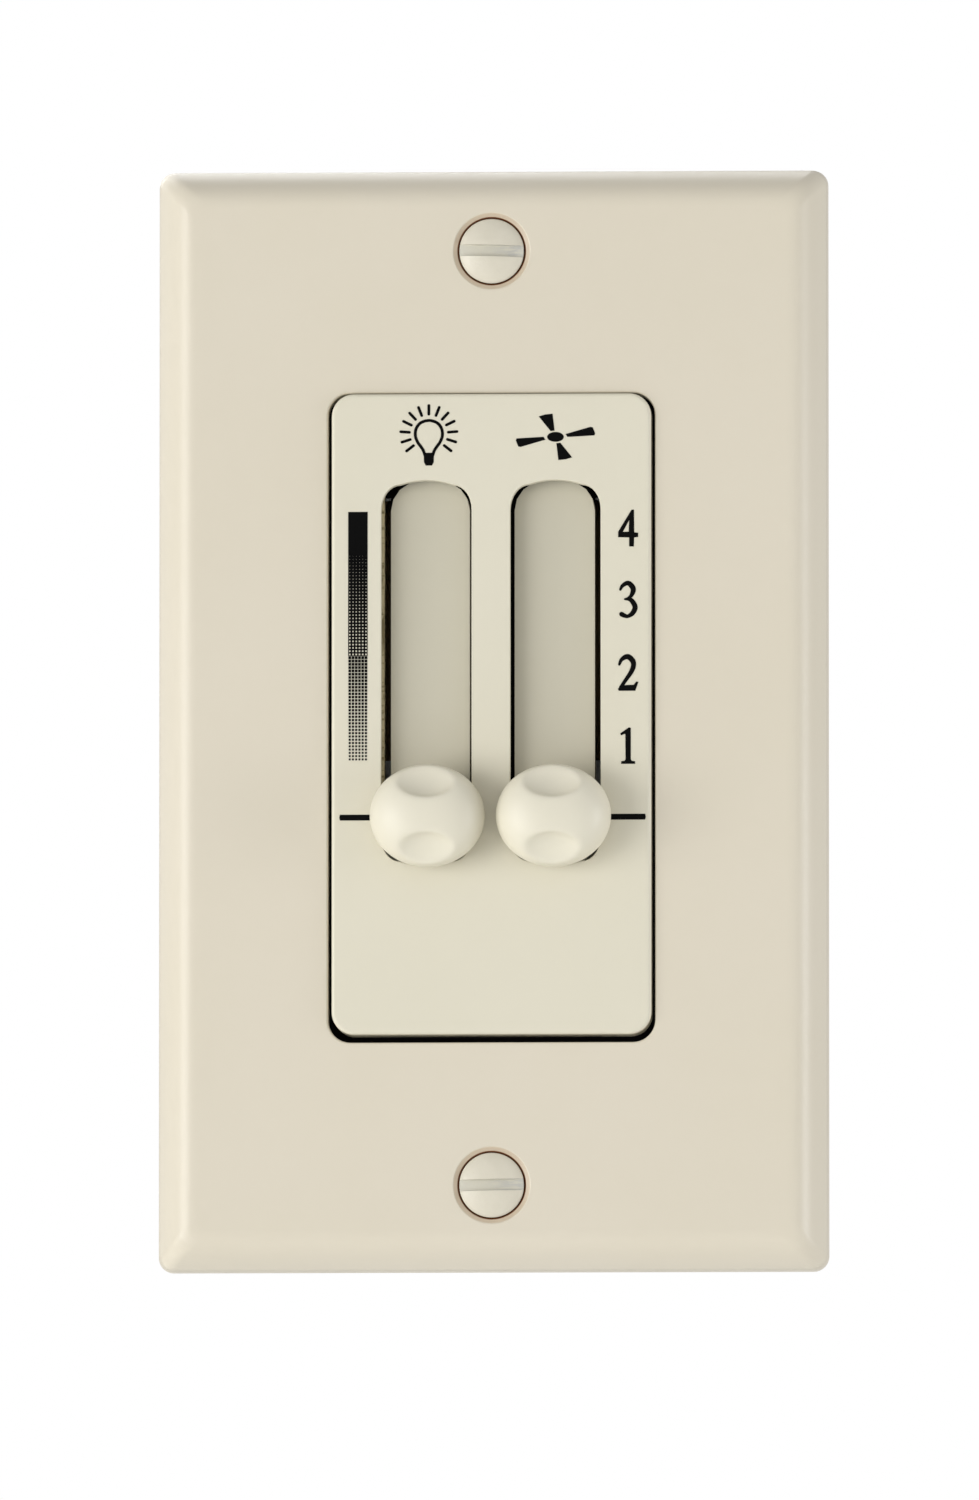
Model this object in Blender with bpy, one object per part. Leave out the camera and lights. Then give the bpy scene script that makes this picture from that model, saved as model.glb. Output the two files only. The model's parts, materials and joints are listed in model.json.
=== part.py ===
"""Dimmer slide switch for one wall box: a light dimmer slide on the left, a fan speed slide on the right.

+Z is up, +X is to the right and the front faces -Y. The origin is the middle of the device on the wall plane,
so everything with a positive Y is inside the wall box. Dimensions are in millimetres, and mesh_object turns
them into metres. Both slides are at rest at the bottom of their travel, in the off position.
"""

import math

import bmesh
import bpy
from mathutils import Matrix, Vector

METRES_PER_MM = 0.001
MERGE_DISTANCE = 0.0005
SMOOTH_ANGLE = math.radians(35)
GAP = 0.3

# Wall plate. Each step of the rolled edge is (inset from the outline, height above the wall).
PLATE_WIDTH = 69.4
PLATE_HEIGHT = 114.3
PLATE_DEPTH = 5.6
PLATE_CORNER = 1.6
PLATE_WALL = 1.9
PLATE_EDGE = ((0.0, 0.0), (0.1, 1.4), (1.35, 4.0), (2.0, 4.75), (3.0, 5.35), (4.2, PLATE_DEPTH))
WINDOW_WIDTH = 33.8
WINDOW_HEIGHT = 67.3
WINDOW_CORNER = 2.3
WINDOW_EDGE = 0.35
WINDOW_RIM = 1.5
PLATE_RIM_DEPTHS = (-4.2, -3.0)
PLATE_SCREW_SPACING = 96.84
PLATE_BOSS_RADIUS = 3.05

# Each step of a plate screw's seat is (radius, depth below the face of the plate).
SEAT_STEPS = ((4.0, -1.4), (4.0, 0.0), (3.6, 0.3), (3.6, 0.7), (2.05, 2.25), (2.05, 6.6))
PLATE_SCREW_HEAD = ((0.0, -6.25), (1.3, -6.17), (2.4, -5.95), (3.1, -5.62), (3.35, -5.35), (3.35, -5.15))
PLATE_SCREW_TILTS = (1.5, -1.0)
PLATE_SLOT_HALF = 0.6
PLATE_SLOT_FLOOR = -5.25

# Face insert with its two slots, and the slot floor behind it.
INSERT_WIDTH = 33.05
INSERT_HEIGHT = 66.4
INSERT_CORNER = 2.3
INSERT_RISE = 0.35
INSERT_FACE = 6.3
INSERT_FRONT_WALL = 1.4
INSERT_SIDE_WALL = 1.2
SLOT_WIDTH = 9.3
SLOT_TOP = 24.57
SLOT_BOTTOM = -15.4
SLOT_CORNER = 2.6
SLOT_CROWN = 0.45
SLOT_X = 6.675
FLOOR_FACE = 4.1
FLOOR_PLATE = (1.8, 3.0)
FLOOR_INNER_GAP = 0.3
FLOOR_OUTER_GAP = {"light": 0.85, "fan": 0.7}
TAB_X = (14.0, 15.6)
TAB_Z = (28.1, 31.1)

# Slides. Off is at the bottom, and the fan's four speeds are a quarter of the travel apart.
SIDES = {"light": -1, "fan": 1}
TRAVEL = 29.8
REST_Z = -10.4
FAN_STEPS = 4
KNOB_X = 6.52
KNOB_HALF_WIDTH = 6.05
KNOB_HALF_HEIGHT = 5.4
KNOB_TOP = 13.0
SCOOP_DEPTH = 12.6
SCOOP_Z = 6.2
SCOOP_RADII = (3.8, 2.4, 4.2)
SKIRT_HALF_WIDTH = 4.4
SKIRT_UP = 4.1
SKIRT_DOWN = 3.7
SKIRT_CORNER = 1.2
LEG_THICKNESS = 0.35
LEG_OUTER_X = 11.05
LEG_DOWN = 2.8
LEG_UP = 3.1
LEG_END = 3.0

# Each ring of a knob is (share of its full outline, height above the wall), from its skirt to its top.
KNOB_RINGS = (
    (0.8, 6.6),
    (0.93, 7.0),
    (0.99, 7.9),
    (0.995, 8.9),
    (0.95, 10.1),
    (0.85, 11.2),
    (0.68, 12.1),
    (0.45, 12.7),
    (0.2, 12.96),
    (0.05, KNOB_TOP),
)

# Strap, which the housing, the triac and the wall plate are fastened to.
STRAP_THICKNESS = 1.5
STRAP_BODY = (43.6, 71.0)
STRAP_EAR = (26.0, 106.0)
DEVICE_SCREW_SPACING = 83.34
SCREW_RADIUS = 1.75
SCREW_HOLE_RADIUS = 2.05
RIVET_X = 19.3
RIVET_Z = 31.3
RIVET_BOSS_RADIUS = 2.4
GROUND_SCREW = (-9.2, -39.5)
BREAK_OFF_X = (7.6, 8.4)
BREAK_OFF_Z = (47.4, 54.0)

# Inside the housing. Depths are measured from the wall plane.
HOUSING_WIDTH = 44.0
HOUSING_HEIGHT = 68.0
HOUSING_DEPTH = 33.0
HOUSING_WALL = 1.8
HOUSING_CORNER = 3.0
LEAD_HOLES_X = (-12.0, -4.0, 4.0, 12.0)
LEAD_HOLES_Z = -25.0
LEAD_HOLE_RADIUS = 1.7
LEAD_COLLAR_RADIUS = 2.9
CAN_X = 10.85
CAN_WIDTH = 9.0
CAN_HEIGHT = 44.4
CAN_DEPTHS = (0.4, 7.0)
CAN_WALL = 0.6
CARRIAGE_HALF_LENGTH = 6.5
TRACK_BOARD_DEPTHS = (7.3, 8.5)
BOARD_DEPTHS = (10.6, 12.2)
BOARD_SIZE = (39.4, 63.4)
COMPONENT_DEPTH = 12.6
CONTACT_X = 1.8
CONTACT_DEPTHS = (5.5, 5.75)
PIN_RADIUS = 0.35
PIN_HOLE_RADIUS = 0.65

# Components on the board: finish, centre, size or radius and length, and height above the board.
TRIAC_HOLE = (0.0, 2.0)
TRIAC_LEADS_Z = -21.5
TRIAC_LEADS_X = (-2.54, 0.0, 2.54)
CHOKE_CENTRE = (7.5, -17.5)
CHOKE_RADII = (5.2, 9.2)
CHOKE_DEPTHS = (14.0, 20.4)
CHOKE_TURNS = 15
CASES = {
    "fan_capacitor_large": ("yellow_case", (-12.2, 15.2), (13.0, 27.0), 15.0),
    "fan_capacitor_small": ("yellow_case", (1.3, 15.2), (11.0, 27.0), 12.5),
    "filter_capacitor": ("blue_case", (13.2, 17.0), (8.5, 18.0), 11.0),
    "timing_capacitor": ("blue_case", (-14.5, -5.5), (7.5, 5.0), 8.0),
}
AXIALS = {
    "diac": ("diode_glass", (-9.0, -8.5), 1.0, 3.8),
    "timing_resistor": ("tan_body", (-12.5, -14.0), 1.2, 6.4),
    "snubber_resistor": ("tan_body", (-16.3, -14.0), 1.2, 6.4),
}
TRIMMER_CENTRE = (-13.0, -26.0)

TRAVEL_MIDDLE_Z = REST_Z + TRAVEL / 2
SLOT_MIDDLE_Z = (SLOT_TOP + SLOT_BOTTOM) / 2
SLOT_HEIGHT = SLOT_TOP - SLOT_BOTTOM
FAN_STOPS = [REST_Z + TRAVEL * step / FAN_STEPS for step in range(FAN_STEPS + 1)]
TRACK_ENDS = (REST_Z - 4.0, REST_Z + TRAVEL + 5.0)
TRACK_PIN_REACH = 20.5
LIGHT_PINS = [(CAN_X + x, TRAVEL_MIDDLE_Z - TRACK_PIN_REACH) for x in (-2, 2)]
LIGHT_PINS.append((CAN_X, TRAVEL_MIDDLE_Z + TRACK_PIN_REACH))
FAN_PINS = [(CAN_X + 2.4, z) for z in FAN_STOPS[1:]] + [(CAN_X - 2.4, TRAVEL_MIDDLE_Z)]

# Finish: base colour, roughness, metallic.
FINISHES = {
    "ivory_plastic": ((0.72, 0.67, 0.54), 0.38, 0.0),
    "ivory_paint": ((0.74, 0.69, 0.57), 0.32, 0.0),
    "black_plastic": ((0.03, 0.03, 0.032), 0.5, 0.0),
    "white_nylon": ((0.8, 0.8, 0.76), 0.45, 0.0),
    "zinc_steel": ((0.6, 0.6, 0.58), 0.35, 1.0),
    "bare_aluminium": ((0.72, 0.72, 0.72), 0.4, 1.0),
    "red_fibre": ((0.32, 0.1, 0.06), 0.8, 0.0),
    "green_screw": ((0.05, 0.3, 0.1), 0.35, 0.6),
    "phenolic_board": ((0.35, 0.2, 0.09), 0.6, 0.0),
    "spring_bronze": ((0.7, 0.45, 0.22), 0.3, 1.0),
    "copper_wire": ((0.75, 0.3, 0.12), 0.3, 1.0),
    "ferrite": ((0.12, 0.12, 0.12), 0.7, 0.0),
    "yellow_case": ((0.75, 0.55, 0.08), 0.4, 0.0),
    "blue_case": ((0.06, 0.16, 0.5), 0.4, 0.0),
    "tan_body": ((0.62, 0.45, 0.28), 0.5, 0.0),
    "diode_glass": ((0.75, 0.35, 0.15), 0.1, 0.0),
    "mica": ((0.75, 0.7, 0.6), 0.3, 0.0),
}


def clear_scene():
    """Removes every object of the startup scene."""
    for item in list(bpy.data.objects):
        bpy.data.objects.remove(item, do_unlink=True)


def material(finish):
    """The material of one finish, made the first time it is asked for."""
    if finish in bpy.data.materials:
        return bpy.data.materials[finish]
    colour, roughness, metallic = FINISHES[finish]
    made = bpy.data.materials.new(finish)
    made.use_nodes = True
    made.diffuse_color = (*colour, 1.0)
    shader = made.node_tree.nodes["Principled BSDF"]
    shader.inputs["Base Color"].default_value = (*colour, 1.0)
    shader.inputs["Roughness"].default_value = roughness
    shader.inputs["Metallic"].default_value = metallic
    return made


# ---- Shapes: each function returns a closed bmesh in millimetres ----


def rounded_outline(width, height, radius, centre=(0.0, 0.0), steps=4, crown=0.0):
    """Points round an upright rectangle with round corners. A crown arches its top and bottom edges."""
    points = []
    for quarter, (side, end) in enumerate(((1, 1), (-1, 1), (-1, -1), (1, -1))):
        for step in range(steps + 1):
            angle = math.pi / 2 * (quarter + step / steps)
            x = side * (width / 2 - radius) + radius * math.cos(angle)
            z = end * (height / 2 - radius) + radius * math.sin(angle)
            points.append((x, z - end * crown * (2 * x / width) ** 2))
        if crown and quarter in (0, 2):
            points.append((0.0, end * height / 2))
    return [(centre[0] + x, centre[1] + z) for x, z in points]


def skin(rings):
    """Skins rings of as many 3D points each, one after the other, and closes both ends."""
    mesh = bmesh.new()
    loops = [[mesh.verts.new(point) for point in ring] for ring in rings]
    for near, far in zip(loops, loops[1:]):
        for i in range(len(near)):
            j = (i + 1) % len(near)
            mesh.faces.new((near[i], near[j], far[j], far[i]))
    mesh.faces.new(loops[0])
    mesh.faces.new(loops[-1])
    bmesh.ops.recalc_face_normals(mesh, faces=mesh.faces)
    return mesh


def loft(sections):
    """Skins flat outlines of as many points each, given as (outline, y)."""
    return skin([[(x, y, z) for x, z in outline] for outline, y in sections])


def prism(outline, y_range):
    """An outline carried straight from one depth to another."""
    return loft([(outline, y_range[0]), (outline, y_range[1])])


def box(x_range, y_range, z_range):
    """A block between two places on each axis."""
    ranges = (x_range, y_range, z_range)
    size = [high - low for low, high in ranges]
    centre = [(high + low) / 2 for low, high in ranges]
    mesh = bmesh.new()
    matrix = Matrix.Translation(centre) @ Matrix.Diagonal((*size, 1.0))
    bmesh.ops.create_cube(mesh, size=1.0, matrix=matrix)
    return mesh


def mirrored_box(side, x_range, y_range, z_range):
    """A box whose x range is given for the right-hand side, put on the side asked for."""
    return box(sorted(side * x for x in x_range), y_range, z_range)


def turned(profile, centre=(0.0, 0.0), segments=24, closed=False):
    """Turns (radius, y) points about an axis along Y. A closed profile makes a ring."""
    mesh = bmesh.new()
    points = [mesh.verts.new((radius, y, 0.0)) for radius, y in profile]
    edges = [mesh.edges.new(pair) for pair in zip(points, points[1:])]
    if closed:
        edges.append(mesh.edges.new((points[-1], points[0])))
    profile_geometry = points + edges
    bmesh.ops.spin(
        mesh, geom=profile_geometry, axis=(0, 1, 0), angle=2 * math.pi, steps=segments, use_merge=True
    )
    bmesh.ops.remove_doubles(mesh, verts=mesh.verts, dist=MERGE_DISTANCE)
    bmesh.ops.recalc_face_normals(mesh, faces=mesh.faces)
    bmesh.ops.translate(mesh, verts=mesh.verts, vec=(centre[0], 0.0, centre[1]))
    return mesh


def rod(radius, y_range, centre, segments=16):
    """A plain rod along Y."""
    low, high = y_range
    return turned([(0.0, low), (radius, low), (radius, high), (0.0, high)], centre, segments)


def wire(points, radius, sides=6):
    """A round wire along points that lie in one plane, with mitred bends."""
    points = [Vector(point) for point in points]
    steps = [(after - before).normalized() for before, after in zip(points, points[1:])]
    bends = [a.cross(b) for a, b in zip(steps, steps[1:]) if a.cross(b).length > 0.01]
    across = (bends[0] if bends else steps[0].orthogonal()).normalized()
    turns = [2 * math.pi * k / sides for k in range(sides)]
    rings = []
    for i, point in enumerate(points):
        before = steps[max(i - 1, 0)]
        after = steps[min(i, len(steps) - 1)]
        along = (before + after).normalized()
        up = across.cross(along) / along.dot(after)
        rings.append([point + radius * (across * math.cos(t) + up * math.sin(t)) for t in turns])
    return skin(rings)


def moved(mesh, matrix):
    """The same shape at another place."""
    bmesh.ops.transform(mesh, matrix=matrix, verts=mesh.verts)
    return mesh


def together(shapes):
    """Puts shapes that don't touch each other into one, so that one cut makes all of their holes."""
    first, *others = shapes
    for other in others:
        data = bpy.data.meshes.new("shape")
        other.to_mesh(data)
        other.free()
        first.from_mesh(data)
        bpy.data.meshes.remove(data)
    return first


# ---- Objects ----


def mesh_object(name, shape):
    """Makes an object of a shape, in metres, and frees the shape."""
    bmesh.ops.scale(shape, vec=(METRES_PER_MM,) * 3, verts=shape.verts)
    data = bpy.data.meshes.new(name)
    shape.to_mesh(data)
    shape.free()
    made = bpy.data.objects.new(name, data)
    bpy.context.scene.collection.objects.link(made)
    return made


def combine(host, shape, operation):
    """Joins a shape to the host, or cuts it away, and leaves the host with a plain mesh."""
    tool = mesh_object("tool", shape)
    modifier = host.modifiers.new("combine", "BOOLEAN")
    modifier.operation = operation
    modifier.solver = "EXACT"
    modifier.object = tool
    bpy.context.view_layer.update()
    graph = bpy.context.evaluated_depsgraph_get()
    result = bpy.data.meshes.new_from_object(host.evaluated_get(graph))
    host.modifiers.clear()
    for old in (host, tool):
        data = old.data
        if old is tool:
            bpy.data.objects.remove(tool, do_unlink=True)
        else:
            host.data = result
        bpy.data.meshes.remove(data)


def solid(name, finish, base, adds=(), cuts=(), smooth=True):
    """One node: the base shape with shapes joined on and then shapes cut away."""
    host = mesh_object(name, base)
    for shape in adds:
        combine(host, shape, "UNION")
    for shape in cuts:
        combine(host, shape, "DIFFERENCE")
    host.data.name = name
    host.data.materials.clear()
    host.data.materials.append(material(finish))
    if smooth:
        host.data.shade_smooth()
        host.data.set_sharp_from_angle(angle=SMOOTH_ANGLE)
    return host


# ---- Wall plate and its screws ----


def plate_ring(inset, grow_corner=0.25):
    """The outline of the plate, moved in."""
    size = (PLATE_WIDTH - 2 * inset, PLATE_HEIGHT - 2 * inset)
    return rounded_outline(*size, PLATE_CORNER + grow_corner * inset)


def window_ring(grow):
    """The outline of the window, moved out."""
    return rounded_outline(WINDOW_WIDTH + 2 * grow, WINDOW_HEIGHT + 2 * grow, WINDOW_CORNER + grow)


def screw_seat(z):
    """The stepped countersink that the head of a plate screw sits in."""
    steps = [(radius, depth - PLATE_DEPTH) for radius, depth in SEAT_STEPS]
    return turned([(0.0, steps[0][1]), *steps, (0.0, steps[-1][1])], (0.0, z))


def make_wall_plate():
    """A thin shell with a rolled edge, a rimmed window and two screw seats on bosses."""
    hollow = [(plate_ring(PLATE_WALL, 0), 1.0), (plate_ring(PLATE_WALL, 0), -2.2)]
    hollow.append((plate_ring(PLATE_WALL + 1.4, 0), PLATE_WALL - PLATE_DEPTH))
    screws_z = (PLATE_SCREW_SPACING / 2, -PLATE_SCREW_SPACING / 2)
    plate = solid(
        "wall_plate",
        "ivory_plastic",
        loft([(plate_ring(inset), -height) for inset, height in PLATE_EDGE]),
        cuts=[loft(hollow)],
    )
    combine(plate, prism(window_ring(WINDOW_RIM), PLATE_RIM_DEPTHS), "UNION")
    boss_depths = (PLATE_RIM_DEPTHS[0], -STRAP_THICKNESS - GAP)
    for z in screws_z:
        combine(plate, rod(PLATE_BOSS_RADIUS, boss_depths, (0.0, z), 20), "UNION")
        combine(plate, screw_seat(z), "DIFFERENCE")
    wide, narrow = window_ring(WINDOW_EDGE), window_ring(0.0)
    front = -PLATE_DEPTH - 0.05
    window = [(wide, front - 1), (wide, front), (narrow, -PLATE_DEPTH + 0.4), (narrow, 1.0)]
    combine(plate, loft(window), "DIFFERENCE")


def make_plate_screws():
    """Slotted oval heads, which stand a little proud of the plate."""
    shank = [(SCREW_RADIUS, -3.55), (SCREW_RADIUS, 1.7), (1.3, 2.1), (0.0, 2.1)]
    for name, end, tilt in zip(("top", "bottom"), (1, -1), PLATE_SCREW_TILTS):
        z = end * PLATE_SCREW_SPACING / 2
        slot = box((-4.5, 4.5), (-7.5, PLATE_SLOT_FLOOR), (-PLATE_SLOT_HALF, PLATE_SLOT_HALF))
        turn = Matrix.Translation((0.0, 0.0, z)) @ Matrix.Rotation(math.radians(tilt), 4, "Y")
        screw = turned([*PLATE_SCREW_HEAD, *shank], (0.0, z), 22)
        solid(f"plate_screw_{name}", "ivory_paint", screw, cuts=[moved(slot, turn)])


# ---- Face insert and slot floor ----


def insert_ring(inset):
    """The outline of the insert, moved in."""
    radius = max(INSERT_CORNER - inset, 0.8)
    size = (INSERT_WIDTH - 2 * inset, INSERT_HEIGHT - 2 * inset)
    return rounded_outline(*size, radius, (0.0, INSERT_RISE))


def slot_outline(side):
    """The outline of one slot, with an arched top and bottom."""
    return rounded_outline(
        SLOT_WIDTH, SLOT_HEIGHT, SLOT_CORNER, (side * SLOT_X, SLOT_MIDDLE_Z), steps=5, crown=SLOT_CROWN
    )


def make_face_insert():
    """A shallow tray that faces the room, with its two slots and four snap tabs."""
    back = -FLOOR_PLATE[0]
    face = -INSERT_FACE
    shell = [(insert_ring(0.0), back), (insert_ring(0.0), face + 0.45), (insert_ring(0.12), face + 0.12)]
    shell.append((insert_ring(0.45), face))
    hollow = prism(insert_ring(INSERT_SIDE_WALL), (face + INSERT_FRONT_WALL, 0.0))
    insert = solid("face_insert", "ivory_plastic", loft(shell), cuts=[hollow])
    for side in (-1, 1):
        for end in (-1, 1):
            z_range = sorted(end * z for z in TAB_Z)
            leg = mirrored_box(side, TAB_X, (face + 1.0, 1.6), z_range)
            hook = mirrored_box(side, (TAB_X[0] + 0.5, TAB_X[1] + 0.7), (0.4, 1.3), z_range)
            combine(insert, leg, "UNION")
            combine(insert, hook, "UNION")
    for side in SIDES.values():
        combine(insert, prism(slot_outline(side), (face - 1, face + 3)), "DIFFERENCE")


def tongue_outline(slide):
    """The tongue seen through one slot, with the top corners cut back further than the slot's own."""
    side = SIDES[slide]
    inner = SLOT_X - SLOT_WIDTH / 2 + FLOOR_INNER_GAP
    outer = SLOT_X + SLOT_WIDTH / 2 - FLOOR_OUTER_GAP[slide]
    centre = (side * (inner + outer) / 2, SLOT_MIDDLE_Z)
    return rounded_outline(outer - inner, SLOT_HEIGHT + 0.2, 3.1, centre, steps=4)


def make_slot_floor():
    """A plate with a raised tongue behind each slot and a long opening for each knob's leg."""
    back, front = -FLOOR_PLATE[0], -FLOOR_PLATE[1]
    tongues = [prism(tongue_outline(slide), (-FLOOR_FACE, back - 0.5)) for slide in SIDES]
    leg_slots = []
    for slide, side in SIDES.items():
        x_range = (SLOT_X + SLOT_WIDTH / 2 - FLOOR_OUTER_GAP[slide], LEG_OUTER_X + 0.6)
        z_range = (REST_Z - LEG_DOWN - 0.5, REST_Z + TRAVEL + LEG_UP + 0.5)
        leg_slots.append(mirrored_box(side, x_range, (front - 1.6, back + 1), z_range))
    plate = prism(rounded_outline(27.4, 62.0, 1.5, (0.0, INSERT_RISE), steps=2), (front, back))
    solid("slot_floor", "ivory_plastic", plate, adds=tongues, cuts=leg_slots)


# ---- Strap and what is fastened to it ----


def make_mounting_strap():
    """The metal yoke, with its screw holes, the tabs' openings and the legs' slits."""
    back_and_front = (-STRAP_THICKNESS, 0.0)
    body = prism(rounded_outline(*STRAP_BODY, 2.0, steps=2), back_and_front)
    ear = prism(rounded_outline(*STRAP_EAR, 3.0, steps=3), back_and_front)
    through = (-STRAP_THICKNESS - 1, 1.0)
    cuts = []
    for end in (-1, 1):
        oval = rounded_outline(6.4, 2 * SCREW_HOLE_RADIUS, 2.0, (0.0, end * DEVICE_SCREW_SPACING / 2))
        cuts.append(prism(oval, through))
        cuts.append(rod(SCREW_HOLE_RADIUS, through, (0.0, end * PLATE_SCREW_SPACING / 2), 20))
        for side in (-1, 1):
            cuts.append(rod(1.5, through, (side * RIVET_X, end * RIVET_Z), 12))
            tab_z = sorted((end * (TAB_Z[0] - GAP), end * (TAB_Z[1] + GAP)))
            cuts.append(mirrored_box(side, (TAB_X[0] - GAP, TAB_X[1] + GAP), through, tab_z))
            cuts.append(mirrored_box(side, BREAK_OFF_X, through, sorted(end * z for z in BREAK_OFF_Z)))
    for side in SIDES.values():
        z_range = (REST_Z - LEG_DOWN - 0.8, REST_Z + TRAVEL + LEG_UP + 0.8)
        cuts.append(mirrored_box(side, (LEG_OUTER_X - 1.2, LEG_OUTER_X + 0.8), through, z_range))
    countersink = [(0.0, -2.0), (3.1, -2.0), (3.1, -1.5), (1.7, -0.5), (1.7, 1.0), (0.0, 1.0)]
    cuts.append(turned(countersink, TRIAC_HOLE))
    cuts.append(rod(SCREW_HOLE_RADIUS, through, GROUND_SCREW, 16))
    solid("mounting_strap", "bare_aluminium", body, adds=[ear], cuts=[together(cuts)])


def make_device_screws():
    """Long pan-head screws for the wall box, each held to the strap by a fibre square."""
    head = [(0.0, -3.5), (2.2, -3.4), (3.1, -3.0), (3.4, -2.4), (3.4, -1.8)]
    shank = [(SCREW_RADIUS, -1.8), (SCREW_RADIUS, 27.2), (1.2, 28.0), (0.0, 28.0)]
    for name, end in (("top", 1), ("bottom", -1)):
        z = end * DEVICE_SCREW_SPACING / 2
        slot = box((-4.5, 4.5), (-4.5, -2.7), (z - 0.5, z + 0.5))
        solid(f"device_screw_{name}", "zinc_steel", turned(head + shank, (0.0, z), 20), cuts=[slot])
        square = prism(rounded_outline(9.0, 9.0, 1.0, (0.0, z), steps=1), (0.3, 0.8))
        hole = rod(SCREW_HOLE_RADIUS - 0.1, (0.0, 1.5), (0.0, z), 16)
        solid(f"screw_retainer_{name}", "red_fibre", square, cuts=[hole])


def make_ground_screw():
    """The screw for the ground wire, which enters the strap from behind."""
    profile = [(0.0, -2.4), (1.4, -2.4), (SCREW_RADIUS, -2.0), (SCREW_RADIUS, 0.3), (3.5, 0.3), (3.5, 2.2)]
    profile += [(3.1, 2.6), (0.0, 2.6)]
    x, z = GROUND_SCREW
    slot = box((x - 4.0, x + 4.0), (1.7, 3.5), (z - 0.5, z + 0.5))
    solid("ground_screw", "green_screw", turned(profile, GROUND_SCREW, 20), cuts=[slot])


def make_housing_rivets():
    """The four rivets that hold the housing to the strap."""
    head = [(0.0, -2.7), (1.1, -2.6), (1.9, -2.2), (2.1, -1.8)]
    shank = [(1.1, -1.8), (1.1, 6.5), (0.7, 6.9), (0.0, 6.9)]
    for row, end in (("top", 1), ("bottom", -1)):
        for column, side in (("left", -1), ("right", 1)):
            centre = (side * RIVET_X, end * RIVET_Z)
            solid(f"housing_rivet_{row}_{column}", "zinc_steel", turned(head + shank, centre, 12))


# ---- Rear housing ----


def housing_ring(inset):
    """The outline of the housing, moved in."""
    size = (HOUSING_WIDTH - 2 * inset, HOUSING_HEIGHT - 2 * inset)
    return rounded_outline(*size, max(HOUSING_CORNER - inset, 1.0), steps=3)


def make_rear_housing():
    """A deep tray with a boss in each corner for a rivet and a row of holes for the wires."""
    floor = HOUSING_DEPTH - HOUSING_WALL
    outside = [(housing_ring(0.0), 0.4), (housing_ring(0.5), HOUSING_DEPTH - 1.0)]
    outside.append((housing_ring(1.4), HOUSING_DEPTH))
    inside = [(housing_ring(HOUSING_WALL), -1.0), (housing_ring(HOUSING_WALL + 0.5), floor)]
    housing = solid("rear_housing", "black_plastic", loft(outside), cuts=[loft(inside)])
    for end in (-1, 1):
        for side in (-1, 1):
            centre = (side * RIVET_X, end * RIVET_Z)
            combine(housing, rod(RIVET_BOSS_RADIUS, (0.7, BOARD_DEPTHS[0] - GAP), centre, 16), "UNION")
            combine(housing, rod(1.4, (-0.5, 7.4), centre, 12), "DIFFERENCE")
    places = [(x, LEAD_HOLES_Z) for x in LEAD_HOLES_X]
    collars = [rod(LEAD_COLLAR_RADIUS, (floor - 1.2, HOUSING_DEPTH - 0.6), place, 18) for place in places]
    combine(housing, together(collars), "UNION")
    holes = [rod(LEAD_HOLE_RADIUS, (floor - 3, HOUSING_DEPTH + 1), place, 16) for place in places]
    combine(housing, together(holes), "DIFFERENCE")


# ---- Slides ----


def knob_outline(side, share, count=28):
    """One ring of the knob, seen from the front, as a share of its full outline."""
    half_x, half_z = share * KNOB_HALF_WIDTH, share * KNOB_HALF_HEIGHT
    turns = [2 * math.pi * i / count for i in range(count)]
    return [(side * KNOB_X + half_x * math.cos(t), REST_Z + half_z * math.sin(t)) for t in turns]


def finger_scoop(side, end):
    """An egg-shaped hollow for a fingertip, at the upper or lower shoulder of a knob."""
    mesh = bmesh.new()
    bmesh.ops.create_uvsphere(mesh, u_segments=20, v_segments=12, radius=1.0)
    place = Matrix.Translation((side * KNOB_X, -SCOOP_DEPTH, REST_Z + end * SCOOP_Z))
    return moved(mesh, place @ Matrix.Diagonal((*SCOOP_RADII, 1.0)))


def make_knob(slide):
    """A domed knob with two finger scoops, over the skirt and the leg that go into the slot."""
    side = SIDES[slide]
    dome = loft([(knob_outline(side, share), -height) for share, height in KNOB_RINGS])
    skirt_size = (2 * SKIRT_HALF_WIDTH, SKIRT_UP + SKIRT_DOWN)
    skirt_centre = (side * SLOT_X, REST_Z + (SKIRT_UP - SKIRT_DOWN) / 2)
    skirt = rounded_outline(*skirt_size, SKIRT_CORNER, skirt_centre, steps=3)
    leg_x = (LEG_OUTER_X - LEG_THICKNESS, LEG_OUTER_X)
    leg_z = (REST_Z - LEG_DOWN, REST_Z + LEG_UP)
    return solid(
        f"{slide}_knob",
        "ivory_plastic",
        dome,
        adds=[prism(skirt, (-8.0, -FLOOR_FACE - GAP)), mirrored_box(side, leg_x, (-7.0, LEG_END), leg_z)],
        cuts=[finger_scoop(side, end) for end in (1, -1)],
    )


def make_carriage(slide, half_width):
    """The nylon block in the can, with a pocket that the leg of the knob snaps into."""
    side = SIDES[slide]
    leg_middle = LEG_OUTER_X - LEG_THICKNESS / 2
    z_range = (REST_Z - CARRIAGE_HALF_LENGTH, REST_Z + CARRIAGE_HALF_LENGTH)
    block = mirrored_box(side, (CAN_X - half_width, CAN_X + half_width), (1.6, 5.2), z_range)
    pocket_z = (REST_Z - LEG_DOWN - 0.2, REST_Z + LEG_UP + 0.2)
    pocket = mirrored_box(side, (leg_middle - 0.35, leg_middle + 0.35), (1.0, LEG_END + GAP), pocket_z)
    return solid(f"{slide}_carriage", "white_nylon", block, cuts=[pocket], smooth=False)


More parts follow.
